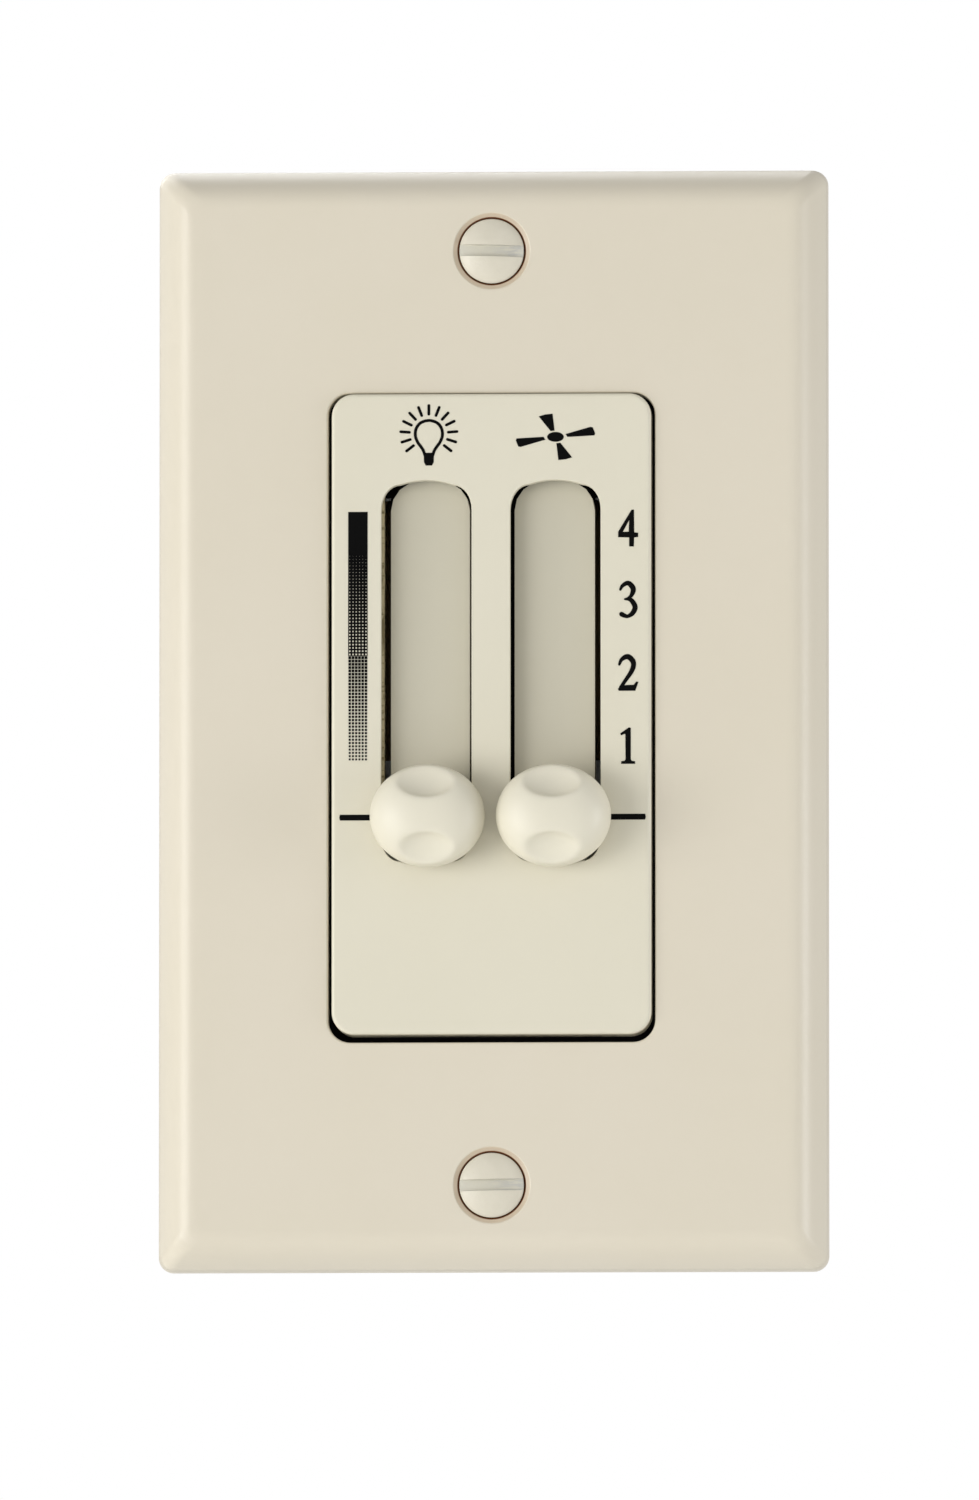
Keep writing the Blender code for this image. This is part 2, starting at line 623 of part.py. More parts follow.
def make_spring_contact(name, side, finger_x):
    """A flat bronze plate under a carriage, with fingers that reach to the board behind it."""
    plate = mirrored_box(side, (CAN_X - 2.9, CAN_X + 2.9), CONTACT_DEPTHS, (REST_Z - 4.5, REST_Z + 4.5))
    fingers = []
    for x in finger_x:
        for end in (-1, 1):
            path = [(side * x, 5.62, REST_Z + end * 1.0), (side * x, 6.5, REST_Z + end * 3.4)]
            path.append((side * x, 6.2, REST_Z + end * 4.2))
            fingers.append(wire(path, 0.3))
    return solid(name, "spring_bronze", plate, adds=fingers, smooth=False)


def make_detent_spring():
    """A bowed leaf beside the fan carriage, whose nose drops into a hole in the can at each speed."""
    outer = CAN_X - CAN_WIDTH / 2 + CAN_WALL
    path = [(outer + 0.85, 3.4, REST_Z - 5.0), (outer + 0.45, 3.4, REST_Z - 1.6), (outer + 0.1, 3.4, REST_Z)]
    path += [(outer + 0.45, 3.4, REST_Z + 1.6), (outer + 0.85, 3.4, REST_Z + 5.0)]
    return solid("fan_detent_spring", "spring_bronze", wire(path, 0.12), smooth=False)


def slide_axis(slide):
    """The empty on a slide's axis, which carries the pieces that travel."""
    axis = bpy.data.objects.new(f"{slide}_slide_axis", None)
    axis.empty_display_size = 0.01
    axis.location = Vector((SIDES[slide] * KNOB_X, -INSERT_FACE, REST_Z)) * METRES_PER_MM
    bpy.context.scene.collection.objects.link(axis)
    return axis


def carry(axis, pieces):
    """Parents the pieces of a slide to its empty, where they are."""
    for piece in pieces:
        piece.parent = axis
        piece.matrix_parent_inverse = Matrix.Translation(-axis.location)


def make_can(slide, holes=()):
    """The steel can that a carriage runs in, open at the back and slit in front for the knob's leg."""
    side = SIDES[slide]
    front, back = CAN_DEPTHS
    half_x = CAN_WIDTH / 2
    half_z = CAN_HEIGHT / 2
    wall = CAN_WALL
    outline = rounded_outline(CAN_WIDTH, CAN_HEIGHT, 0.8, (side * CAN_X, TRAVEL_MIDDLE_Z), steps=1)
    inside_x = (CAN_X - half_x + wall, CAN_X + half_x - wall)
    inside_z = (TRAVEL_MIDDLE_Z - half_z + wall, TRAVEL_MIDDLE_Z + half_z - wall)
    inside = mirrored_box(side, inside_x, (front + wall, back + 1), inside_z)
    slit_x = (LEG_OUTER_X - LEG_THICKNESS - 0.5, LEG_OUTER_X + 0.5)
    slit_z = (REST_Z - LEG_DOWN - 0.5, REST_Z + TRAVEL + LEG_UP + 0.5)
    slit = mirrored_box(side, slit_x, (front - 1, front + 1.5), slit_z)
    detents = []
    for z in holes:
        wall_x = (CAN_X - half_x - 0.5, CAN_X - half_x + wall + 0.2)
        detents.append(mirrored_box(side, wall_x, (2.7, 4.1), (z - 0.8, z + 0.8)))
    openings = together([slit, *detents])
    solid(f"{slide}_slide_can", "zinc_steel", prism(outline, (front, back)), cuts=[inside, openings])


def make_track_board(slide, strips, pins):
    """A board across the back of a can. Strips are (x, z low, z high, width) of its raised tracks or pads."""
    side = SIDES[slide]
    front, back = TRACK_BOARD_DEPTHS
    centre = (side * CAN_X, TRAVEL_MIDDLE_Z)
    outline = rounded_outline(CAN_WIDTH - 0.4, CAN_HEIGHT - 0.4, 0.5, centre, steps=1)
    depths = (front - 0.15, front + 0.3)
    adds = []
    for x, low, high, width in strips:
        adds.append(mirrored_box(side, (x - width / 2, x + width / 2), depths, (low, high)))
    for x, z in pins:
        adds.append(rod(PIN_RADIUS, (back - 0.5, BOARD_DEPTHS[1] + 0.1), (side * x, z), 6))
    name = {"light": "light_track_board", "fan": "fan_contact_board"}[slide]
    solid(name, "phenolic_board", prism(outline, (front, back)), adds=adds, smooth=False)


def make_light_slide():
    """The dimmer slide: a can, a board with two long tracks, and the knob with its carriage and wiper."""
    make_can("light")
    tracks_x = (CAN_X - CONTACT_X, CAN_X + CONTACT_X)
    make_track_board("light", [(x, *TRACK_ENDS, 1.6) for x in tracks_x], LIGHT_PINS)
    moving = [make_knob("light"), make_carriage("light", 3.6)]
    moving.append(make_spring_contact("light_wiper", SIDES["light"], tracks_x))
    carry(slide_axis("light"), moving)


def make_fan_slide():
    """The speed slide: a can with a hole for each stop, a board with a pad for each speed, and the knob."""
    make_can("fan", holes=FAN_STOPS)
    common_x, pads_x = CAN_X - CONTACT_X, CAN_X + CONTACT_X
    strips = [(common_x, *TRACK_ENDS, 1.6)]
    strips += [(pads_x, z - 2.0, z + 2.0, 2.2) for z in FAN_STOPS[1:]]
    make_track_board("fan", strips, FAN_PINS)
    moving = [make_knob("fan"), make_carriage("fan", 2.7)]
    moving.append(make_spring_contact("fan_contact_bridge", SIDES["fan"], (common_x, pads_x)))
    moving.append(make_detent_spring())
    carry(slide_axis("fan"), moving)


# ---- Circuit board and what is on it ----


def case_pins(centre, size):
    """Where the two pins of a box capacitor go through the board."""
    reach = size[1] / 2 - 1.5
    return [(centre[0], centre[1] + reach), (centre[0], centre[1] - reach)]


def axial_pins(centre, length):
    """Where the two legs of a lying component go through the board."""
    reach = length / 2 + 1.6
    return [(centre[0], centre[1] + reach), (centre[0], centre[1] - reach)]


def trimmer_pins():
    """Where the three pins of the trimmer go through the board."""
    x, z = TRIMMER_CENTRE
    return [(x - 2.0, z + 2.0), (x + 2.0, z + 2.0), (x, z - 2.0)]


def choke_pins():
    """Where the two ends of the choke's wire go through the board."""
    x, z = CHOKE_CENTRE
    return [(x - 4.0, z + 12.2), (x + 4.0, z + 12.2)]


def make_circuit_board():
    """The board, drilled for every pin."""
    holes = [(-x, z) for x, z in LIGHT_PINS] + FAN_PINS + [(x, TRIAC_LEADS_Z) for x in TRIAC_LEADS_X]
    for _, centre, size, _ in CASES.values():
        holes += case_pins(centre, size)
    for _, centre, _, length in AXIALS.values():
        holes += axial_pins(centre, length)
    holes += trimmer_pins() + choke_pins()
    through = (BOARD_DEPTHS[0] - 1, BOARD_DEPTHS[1] + 1)
    drills = [rod(PIN_HOLE_RADIUS, through, centre, 6) for centre in holes]
    outline = rounded_outline(*BOARD_SIZE, 1.0, steps=1)
    board = prism(outline, BOARD_DEPTHS)
    solid("circuit_board", "phenolic_board", board, cuts=[together(drills)], smooth=False)


def make_triac():
    """The power switch: a metal tab under a moulded body, with three legs bent back to the board."""
    x, z = TRIAC_HOLE
    tab = box((x - 5.0, x + 5.0), (0.8, 2.1), (z - 12.4, z + 3.2))
    body = box((x - 5.05, x + 5.05), (0.85, 5.2), (z - 12.5, z - 3.4))
    bends = ((3.4, z - 12.0), (3.4, TRIAC_LEADS_Z), (BOARD_DEPTHS[1] + 0.1, TRIAC_LEADS_Z))
    legs = [wire([(leg, y, bend_z) for y, bend_z in bends], 0.4) for leg in TRIAC_LEADS_X]
    hole = rod(1.8, (0.0, 3.0), TRIAC_HOLE, 16)
    solid("triac", "black_plastic", body, adds=[tab, *legs], cuts=[hole], smooth=False)
    sheet = box((x - 6.0, x + 6.0), (0.3, 0.5), (z - 14.0, z + 4.2))
    solid("triac_insulator", "mica", sheet, cuts=[rod(1.75, (0.0, 1.0), TRIAC_HOLE, 16)], smooth=False)
    rivet = [(0.0, -1.45), (2.6, -1.45), (1.4, -0.6), (1.4, 2.4), (2.5, 2.4), (2.3, 3.1), (0.0, 3.3)]
    solid("triac_rivet", "zinc_steel", turned(rivet, TRIAC_HOLE, 20))


def make_choke():
    """A ring core with one layer of wire. The winding is a sleeve with a ridge for each turn."""
    (inner, outer), (low, high) = CHOKE_RADII, CHOKE_DEPTHS
    bevel = 0.7
    section = [(inner + bevel, low), (outer - bevel, low), (outer, low + bevel), (outer, high - bevel)]
    section += [(outer - bevel, high), (inner + bevel, high), (inner, high - bevel), (inner, low + bevel)]
    solid("choke_core", "ferrite", turned(section, CHOKE_CENTRE, 28, closed=True))
    middle_radius, middle_y = (inner + outer) / 2, (low + high) / 2
    start, stop = math.radians(115), math.radians(425)
    rings = []
    for step in range(2 * CHOKE_TURNS + 1):
        angle = start + (stop - start) * step / (2 * CHOKE_TURNS)
        swell = 1.1 if step % 2 else 0.75
        ring = []
        for radius, y in section:
            out_r = radius + math.copysign(swell, radius - middle_radius)
            out_y = y + math.copysign(swell, y - middle_y)
            x = CHOKE_CENTRE[0] + out_r * math.cos(angle)
            ring.append((x, out_y, CHOKE_CENTRE[1] + out_r * math.sin(angle)))
        rings.append(ring)
    sleeve = skin(rings)
    clear = []
    for radius, y in section:
        clear_radius = radius + math.copysign(GAP, radius - middle_radius)
        clear.append((clear_radius, y + math.copysign(GAP, y - middle_y)))
    tails = []
    for x, z in choke_pins():
        start_y = 15.0
        tails.append(wire([(x, start_y, z - 3.6), (x, start_y, z), (x, BOARD_DEPTHS[1] - 0.5, z)], 0.3))
    room = turned(clear, CHOKE_CENTRE, 28, closed=True)
    solid("choke_winding", "copper_wire", sleeve, adds=tails, cuts=[room])


def make_cases():
    """Box capacitors, each on two pins."""
    for name, (finish, centre, size, height) in CASES.items():
        low, high = COMPONENT_DEPTH, COMPONENT_DEPTH + height
        rings = [(rounded_outline(*size, 0.8, centre, steps=1), y) for y in (low, high - 0.6)]
        rings.append((rounded_outline(size[0] - 1.0, size[1] - 1.0, 0.8, centre, steps=1), high))
        pins = [rod(PIN_RADIUS, (BOARD_DEPTHS[0], low + 0.5), pin, 6) for pin in case_pins(centre, size)]
        solid(name, finish, loft(rings), adds=pins, smooth=False)


def make_axials():
    """Round bodies that lie on the board with a leg bent down at each end."""
    for name, (finish, centre, radius, length) in AXIALS.items():
        x, z = centre
        y = COMPONENT_DEPTH + radius + 0.2
        half = length / 2
        profile = [(0.0, -half), (radius * 0.8, -half), (radius, -half + 0.5), (radius, half - 0.5)]
        profile += [(radius * 0.8, half), (0.0, half)]
        lie_down = Matrix.Translation((x, y, z)) @ Matrix.Rotation(math.pi / 2, 4, "X")
        legs = []
        for pin_x, pin_z in axial_pins(centre, length):
            inward = math.copysign(half - 0.9, pin_z - z)
            bends = ((y, z + inward), (y, pin_z), (BOARD_DEPTHS[0], pin_z))
            legs.append(wire([(pin_x, bend_y, bend_z) for bend_y, bend_z in bends], PIN_RADIUS * 0.8))
        solid(name, finish, moved(turned(profile, segments=12), lie_down), adds=legs)


def make_trimmer():
    """The low-end adjustment that is set once at the factory."""
    x, z = TRIMMER_CENTRE
    low = COMPONENT_DEPTH
    body = prism(rounded_outline(6.6, 7.0, 0.6, TRIMMER_CENTRE, steps=1), (low, low + 3.6))
    adds = [rod(2.2, (low + 3.0, low + 4.6), TRIMMER_CENTRE, 16)]
    adds += [rod(PIN_RADIUS, (BOARD_DEPTHS[0], low + 0.5), pin, 6) for pin in trimmer_pins()]
    slot = box((x - 2.5, x + 2.5), (low + 3.9, low + 6), (z - 0.3, z + 0.3))
    solid("trimmer", "blue_case", body, adds=adds, cuts=[slot])


def main():
    """Builds every piece of the control."""
    clear_scene()
    make_wall_plate()
    make_plate_screws()
    make_face_insert()
    make_slot_floor()
    make_mounting_strap()
    make_device_screws()
    make_ground_screw()
    make_rear_housing()
    make_housing_rivets()
    make_light_slide()
    make_fan_slide()
    make_circuit_board()
    make_triac()
    make_choke()
    make_cases()
    make_axials()
    make_trimmer()


if __name__ == "__main__":
    main()
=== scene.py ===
"""Dimmer slide switch: the finished look of a light dimmer slide beside a fan speed slide.

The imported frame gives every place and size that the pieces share. Pieces are shaped in millimetres at
their real place, with +Z up and the front facing -Y, and settle() brings each one to metres at the end.
"""

import json
import logging
import math
from collections.abc import Callable, Iterator, Sequence
from contextlib import contextmanager
from dataclasses import dataclass, field
from enum import Enum

import bmesh
import bpy
from mathutils import Matrix, Vector

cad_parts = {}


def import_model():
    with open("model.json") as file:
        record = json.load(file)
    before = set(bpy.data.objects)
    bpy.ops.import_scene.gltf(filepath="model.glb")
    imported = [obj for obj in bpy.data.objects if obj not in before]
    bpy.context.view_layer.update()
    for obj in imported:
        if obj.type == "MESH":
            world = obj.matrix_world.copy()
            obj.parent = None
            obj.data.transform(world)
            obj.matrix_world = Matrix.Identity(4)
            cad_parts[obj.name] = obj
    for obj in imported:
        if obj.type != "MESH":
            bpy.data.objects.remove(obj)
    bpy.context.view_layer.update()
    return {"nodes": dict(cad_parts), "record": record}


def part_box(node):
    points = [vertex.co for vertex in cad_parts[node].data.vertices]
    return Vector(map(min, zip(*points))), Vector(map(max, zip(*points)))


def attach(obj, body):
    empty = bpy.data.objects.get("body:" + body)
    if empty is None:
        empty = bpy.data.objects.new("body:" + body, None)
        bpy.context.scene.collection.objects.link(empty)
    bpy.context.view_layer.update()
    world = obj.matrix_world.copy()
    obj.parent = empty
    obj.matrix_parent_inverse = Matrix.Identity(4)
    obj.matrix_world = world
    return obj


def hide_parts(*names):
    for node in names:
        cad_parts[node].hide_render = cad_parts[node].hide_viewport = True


MM = 0.001
CONTROL_BODY = "control_body"
PLATE_SCREW_Z = 48.42
MERGE_DISTANCE = 0.002
INK_MERGE_DISTANCE = 1e-4
SAME_DEPTH = 0.01
FLAT_ANGLE = math.radians(0.5)
FACING = 0.9
ORIGIN = Vector((0, 0, 0))

log = logging.getLogger("dimmer_slide_switch")

Colour = tuple[float, float, float]
Point = tuple[float, float]
Corner = tuple[float, float, float]
Piece = bpy.types.Object
Node = bpy.types.Node
Socket = bpy.types.NodeSocket
PairTest = Callable[[Vector, Vector], bool]


class Side(Enum):
    """The two slides, with the side of the control that each one is on."""

    LIGHT = -1
    FAN = 1

    @property
    def word(self) -> str:
        """The slide's name as node names spell it."""
        return self.name.lower()

    @property
    def body(self) -> str:
        """The moving body of the slide."""
        return f"{self.word}_slider"


def node_box(node: str) -> tuple[Vector, Vector]:
    """Reads where a node is.

    Args:
        node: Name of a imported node.

    Returns:
        Its lowest and highest corners in millimetres.
    """
    low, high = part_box(node)
    return low / MM, high / MM


# ---- Hand work: selecting, shaping and joining ----


def span(side: int, ends: Point) -> Point:
    """Gives a span with its lowest end first, mirrored where the side is -1."""
    low, high = sorted(side * end for end in ends)
    return low, high


def at_depth(y: float, *points: Vector) -> bool:
    """Whether every point lies on the upright plane at a depth."""
    return all(abs(point.y - y) < SAME_DEPTH for point in points)


def add_spline(curve: bpy.types.Curve, places: list[Corner]) -> bpy.types.Spline:
    """Adds a line through places to a curve.

    Args:
        curve: The curve.
        places: The places, in order.

    Returns:
        The line.
    """
    spline = curve.splines.new("POLY")
    spline.points.add(len(places) - 1)
    for point, place in zip(spline.points, places):
        point.co = (*place, 1.0)
    return spline


def rename(piece: Piece, name: str) -> None:
    """Names a piece and its mesh."""
    piece.name = piece.data.name = name


def put_in_scene(name: str, data: bpy.types.ID) -> Piece:
    """Makes an object of a mesh, curve, camera or light, and links it to the scene."""
    thing = bpy.data.objects.new(name, data)
    bpy.context.scene.collection.objects.link(thing)
    return thing


def deselect_all() -> None:
    """Leaves nothing selected."""
    for obj in list(bpy.context.selected_objects):
        obj.select_set(False)


def select_only(piece: Piece) -> None:
    """Makes one piece the only selected and the active object."""
    deselect_all()
    piece.select_set(True)
    bpy.context.view_layer.objects.active = piece


@contextmanager
def editing(piece: Piece) -> Iterator[None]:
    """Opens a piece in edit mode and closes it afterwards.

    Args:
        piece: The mesh to edit.

    Yields:
        Nothing, while the piece is open.
    """
    select_only(piece)
    bpy.ops.object.mode_set(mode="EDIT")
    yield
    bpy.ops.object.mode_set(mode="OBJECT")


def pick_faces(piece: Piece, test: PairTest) -> None:
    """Selects the faces of an open piece whose centre and normal pass a test.

    Args:
        piece: The piece in edit mode.
        test: Says whether a face is wanted, from its centre and its normal.
    """
    bpy.ops.mesh.select_mode(type="FACE")
    bpy.ops.mesh.select_all(action="DESELECT")
    mesh = bmesh.from_edit_mesh(piece.data)
    for face in mesh.faces:
        face.select_set(test(face.calc_center_median(), face.normal))
    mesh.select_flush_mode()
    bmesh.update_edit_mesh(piece.data)


def pick_edges(piece: Piece, test: PairTest) -> None:
    """Selects the edges of an open piece whose ends pass a test.

    Args:
        piece: The piece in edit mode.
        test: Says whether an edge is wanted, from its two ends.
    """
    bpy.ops.mesh.select_mode(type="EDGE")
    bpy.ops.mesh.select_all(action="DESELECT")
    mesh = bmesh.from_edit_mesh(piece.data)
    for edge in mesh.edges:
        edge.select_set(test(edge.verts[0].co, edge.verts[1].co))
    mesh.select_flush_mode()
    bmesh.update_edit_mesh(piece.data)


def face_outwards() -> None:
    """Turns every face of the open piece outwards."""
    bpy.ops.mesh.select_all(action="SELECT")
    bpy.ops.mesh.normals_make_consistent(inside=False)


def grow(move: Corner, stretch: Corner = (1, 1, 1), about: Vector = ORIGIN) -> None:
    """Extrudes the selected faces, moves the new ones and resizes them about a point.

    Args:
        move: How far the new faces move.
        stretch: Their resize factor on each axis.
        about: The point they are resized about.
    """
    bpy.ops.mesh.extrude_region_move(TRANSFORM_OT_translate={"value": move})
    bpy.ops.transform.resize(value=stretch, center_override=about)


def newest(name: str, scale: Corner | None = None) -> Piece:
    """Names the primitive that was just added, and brings its place and size into its mesh.

    Args:
        name: Name of the new piece.
        scale: Its size along each of its own axes, if it differs from the primitive's.

    Returns:
        The piece.
    """
    piece = bpy.context.active_object
    rename(piece, name)
    if scale:
        piece.scale = scale
    bpy.ops.object.transform_apply(location=True, rotation=True, scale=True)
    return piece


def add_block(name: str, low: Corner, high: Corner) -> Piece:
    """Adds a block between two corners.

    Args:
        name: Name of the new piece.
        low: Its lowest corner.
        high: Its highest corner.

    Returns:
        The block, with its place in its mesh.
    """
    deselect_all()
    centre = [(a + b) / 2 for a, b in zip(low, high)]
    bpy.ops.mesh.primitive_cube_add(size=1.0, location=centre, scale=[b - a for a, b in zip(low, high)])
    return newest(name)


def add_turned(name: str, profile: Sequence[Point], centre: Point, segments: int = 64) -> Piece:
    """Turns a piece about an axis along Y, by extruding a disc from ring to ring.

    Args:
        name: Name of the new piece.
        profile: (radius, y) of each ring, from one end to the other.
        centre: (x, z) of the axis.
        segments: Sides of each ring.

    Returns:
        The turned piece, closed at both ends.
    """
    deselect_all()
    (radius, start), *rings = profile
    place = (centre[0], start, centre[1])
    bpy.ops.mesh.primitive_circle_add(
        vertices=segments, radius=radius, fill_type="NGON", location=place, rotation=(math.pi / 2, 0, 0)
    )
    piece = newest(name)
    with editing(piece):
        bpy.ops.mesh.select_all(action="SELECT")
        for next_radius, y in rings:
            factor = next_radius / radius
            grow((0, y - start, 0), (factor, 1, factor), Vector((centre[0], y, centre[1])))
            radius, start = next_radius, y
        face_outwards()
    return piece


def round_upright_edges(piece: Piece, radius: float, segments: int) -> None:
    """Rounds the edges of a block that run front to back.

    Args:
        piece: The block.
        radius: Radius of the corners.
        segments: Steps round each corner.
    """
    with editing(piece):
        pick_edges(piece, lambda a, b: abs(a.y - b.y) > 0.1 and (a.xz - b.xz).length < 1e-4)
        bpy.ops.mesh.bevel(offset=radius, segments=segments, affect="EDGES")


def apply_modifier(piece: Piece, kind: str, **settings: object) -> None:
    """Adds a modifier with its settings and applies it.

    Args:
        piece: The piece to change.
        kind: Blender's name for the modifier.
        settings: Its properties.
    """
    select_only(piece)
    modifier = piece.modifiers.new(kind.lower(), kind)
    for key, value in settings.items():
        setattr(modifier, key, value)
    bpy.ops.object.modifier_apply(modifier=modifier.name)


def carve(piece: Piece, tool: Piece, operation: str = "DIFFERENCE") -> None:
    """Cuts a tool's shape out of a piece, or joins it on, and throws the tool away.

    Args:
        piece: The piece to change.
        tool: The shape to cut or join.
        operation: DIFFERENCE or UNION.
    """
    apply_modifier(piece, "BOOLEAN", object=tool, operation=operation, solver="EXACT")
    bpy.data.objects.remove(tool, do_unlink=True)


def soften(piece: Piece, width: float, segments: int = 2, angle: float = 40.0) -> None:
    """Rounds every edge sharper than an angle.

    Args:
        piece: The piece to change.
        width: Width of the rounding.
        segments: Steps across it.
        angle: Smallest angle, in degrees, that counts as an edge.
    """
    apply_modifier(
        piece,
        "BEVEL",
        width=width,
        segments=segments,
        limit_method="ANGLE",
        angle_limit=math.radians(angle),
        miter_outer="MITER_ARC",
        use_clamp_overlap=True,
    )


def shade(piece: Piece, angle: float = 35.0, weighted: bool = True) -> None:
    """Shades a piece smooth up to an angle, with its flat faces kept flat.

    Args:
        piece: The piece to shade.
        angle: Smallest angle, in degrees, that stays sharp.
        weighted: Whether large faces pull the normals of their corners.
    """
    select_only(piece)
    bpy.ops.object.shade_smooth_by_angle(angle=math.radians(angle))
    if weighted:
        apply_modifier(piece, "WEIGHTED_NORMAL", keep_sharp=True, weight=80)


def join(pieces: list[Piece], name: str) -> Piece:
    """Makes one piece of several.

    Args:
        pieces: The pieces, of which the first keeps its object.
        name: Name of the result.

    Returns:
        The joined piece.
    """
    select_only(pieces[0])
    for piece in pieces:
        piece.select_set(True)
    bpy.ops.object.join()
    joined = bpy.context.active_object
    rename(joined, name)
    return joined


def copy_of(piece: Piece, name: str) -> Piece:
    """Copies a piece with its own mesh.

    Args:
        piece: The piece to copy.
        name: Name of the copy.

    Returns:
        The copy.
    """
    twin = put_in_scene(name, piece.data.copy())
    rename(twin, name)
    return twin


def place_by(piece: Piece, matrix: Matrix) -> None:
    """Moves the mesh of a piece, and turns its faces out again if the move mirrors it.

    Args:
        piece: The piece to move.
        matrix: The move, in millimetres.
    """
    piece.data.transform(matrix)
    if matrix.determinant() < 0:
        piece.data.flip_normals()


def node_copy(node: str, name: str) -> Piece:
    """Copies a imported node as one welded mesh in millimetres, with its flat faces whole.

    Args:
        node: The node to copy.
        name: Name of the copy.

    Returns:
        The copy, free of the body that the node rides on.
    """
    piece = copy_of(bpy.data.objects[node], name)
    piece.data.materials.clear()
    piece.data.transform(Matrix.Scale(1 / MM, 4))
    with editing(piece):
        bpy.ops.mesh.select_all(action="SELECT")
        bpy.ops.mesh.customdata_custom_splitnormals_clear()
        bpy.ops.mesh.remove_doubles(threshold=MERGE_DISTANCE)
        bpy.ops.mesh.dissolve_limited(angle_limit=FLAT_ANGLE)
    return piece


def pen_stroke(path: list[tuple[float, float, float]], steps: int = 6) -> list[Point]:
    """Draws round a pen stroke with round ends.

    Args:
        path: (x, z, width) of the stroke at a few points, which a smooth curve joins.
        steps: Points drawn between two of them.

    Returns:
        The closed outline of the stroke.
    """
    knots = [Vector(knot) for knot in (path[0], *path, path[-1])]
    spine = []
    for before, start, end, after in zip(knots, knots[1:], knots[2:], knots[3:]):
        for step in range(steps):
            t = step / steps
            bend = (2 * before - 5 * start + 4 * end - after) * t * t
            twist = (3 * start - before - 3 * end + after) * t**3
            spine.append(0.5 * (2 * start + (end - before) * t + bend + twist))
    spine.append(knots[-1])
    left, right = [], []
    for i, spot in enumerate(spine):
        along = (spine[min(i + 1, len(spine) - 1)] - spine[max(i - 1, 0)]).xy.normalized()
        across = Vector((-along.y, along.x)) * spot.z / 2
        left.append(spot.xy + across)
        right.append(spot.xy - across)
    caps = []
    for centre, first in ((spine[-1].xy, left[-1]), (spine[0].xy, right[0])):
        arm = first - centre
        turns = [-math.pi * k / 6 for k in range(1, 6)]
        caps.append([centre + Matrix.Rotation(turn, 2) @ arm for turn in turns])
    return [tuple(spot) for spot in (*left, *caps[0], *reversed(right), *caps[1])]


def swell(outline: list[Point], by: float) -> list[Point]:
    """Moves the points of a closed outline outwards.

    Args:
        outline: The (x, z) points.
        by: How far its sides move out, or in if negative.

    Returns:
        The new outline.
    """
    spots = [Vector(spot) for spot in outline]
    turned = sum(a.cross(b) for a, b in zip(spots, spots[1:] + spots[:1]))
    outwards = by * math.copysign(1.0, turned)
    moved = []
    for before, spot, after in zip(spots[-1:] + spots, spots, spots[1:] + spots[:1]):
        sides = [Vector((step.y, -step.x)).normalized() for step in (spot - before, after - spot)]
        middle = (sides[0] + sides[1]).normalized()
        moved.append(tuple(spot + middle * outwards / max(middle.dot(sides[0]), 0.6)))
    return moved


def add_ink(
    name: str, outlines: list[list[Point]], centre: Point, face: float, thickness: float
) -> Piece:
    """Makes a thin flat solid of closed outlines, lying on a face that looks towards -Y.

    Args:
        name: Name of the piece.
        outlines: (x, z) points of each outline. One inside another is a hole.
        centre: (x, z) that the outlines are drawn about.
        face: The face's y.
        thickness: How far the solid stands proud of the face.

    Returns:
        The solid.
    """
    curve = bpy.data.curves.new(name, "CURVE")
    curve.dimensions = "2D"
    curve.fill_mode = "BOTH"
    curve.extrude = thickness
    for outline in outlines:
        add_spline(curve, [(x, z, 0.0) for x, z in outline]).use_cyclic_u = True
    piece = put_in_scene(name, curve)
    select_only(piece)
    bpy.ops.object.convert(target="MESH")
    piece.location = (centre[0], face, centre[1])
    piece.rotation_euler = (math.pi / 2, 0.0, 0.0)
    bpy.ops.object.transform_apply(location=True, rotation=True, scale=True)
    with editing(piece):
        bpy.ops.mesh.select_all(action="SELECT")
        bpy.ops.mesh.remove_doubles(threshold=INK_MERGE_DISTANCE)
        face_outwards()
    return piece


def add_coil(tooth: list[Point], start: float, pitch: float, turns: int, centre: Point) -> Piece:
    """Winds a tooth round an axis along Y, as the thread of a screw.

    Args:
        tooth: (radius, y) points of the tooth's section.
        start: The y that it starts at.
        pitch: Rise of one turn.
        turns: How many turns it makes.
        centre: (x, z) of the axis.

    Returns:
        The coil, closed at both ends.
    """
    deselect_all()
    bpy.ops.mesh.primitive_circle_add(vertices=len(tooth), radius=1.0, fill_type="NOTHING")
    coil = newest("coil")
    for vertex, (radius, y) in zip(coil.data.vertices, tooth):
        vertex.co = (radius, y, 0.0)
    apply_modifier(
        coil,
        "SCREW",
        axis="Y",
        screw_offset=pitch,
        iterations=turns,
        steps=24,
        render_steps=24,
        use_merge_vertices=False,
    )
    with editing(coil):
        bpy.ops.mesh.select_all(action="DESELECT")
        bpy.ops.mesh.select_mode(type="EDGE")
        bpy.ops.mesh.select_non_manifold()
        bpy.ops.mesh.edge_face_add()
        face_outwards()
    place_by(coil, Matrix.Translation((centre[0], start, centre[1])))
    return coil


def settle(
    piece: Piece, finish: "Finish", body: str = CONTROL_BODY, stands_for: tuple[str, ...] = ()
) -> None:
    """Brings a finished piece to metres, gives it its finish and puts it on its body.

    Args:
        piece: The piece, in millimetres.
        finish: What it is made of.
        body: The body that it moves with.
        stands_for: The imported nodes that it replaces.
    """
    select_only(piece)
    piece.scale = (MM, MM, MM)
    bpy.ops.object.transform_apply(location=True, rotation=True, scale=True)
    piece.data.materials.clear()
    piece.data.materials.append(finish.material())
    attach(piece, body)
    if stands_for:
        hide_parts(*stands_for)
    log.info("%s: %d faces, rides on %s", piece.name, len(piece.data.polygons), body)


# ---- Effects that several finishes share ----


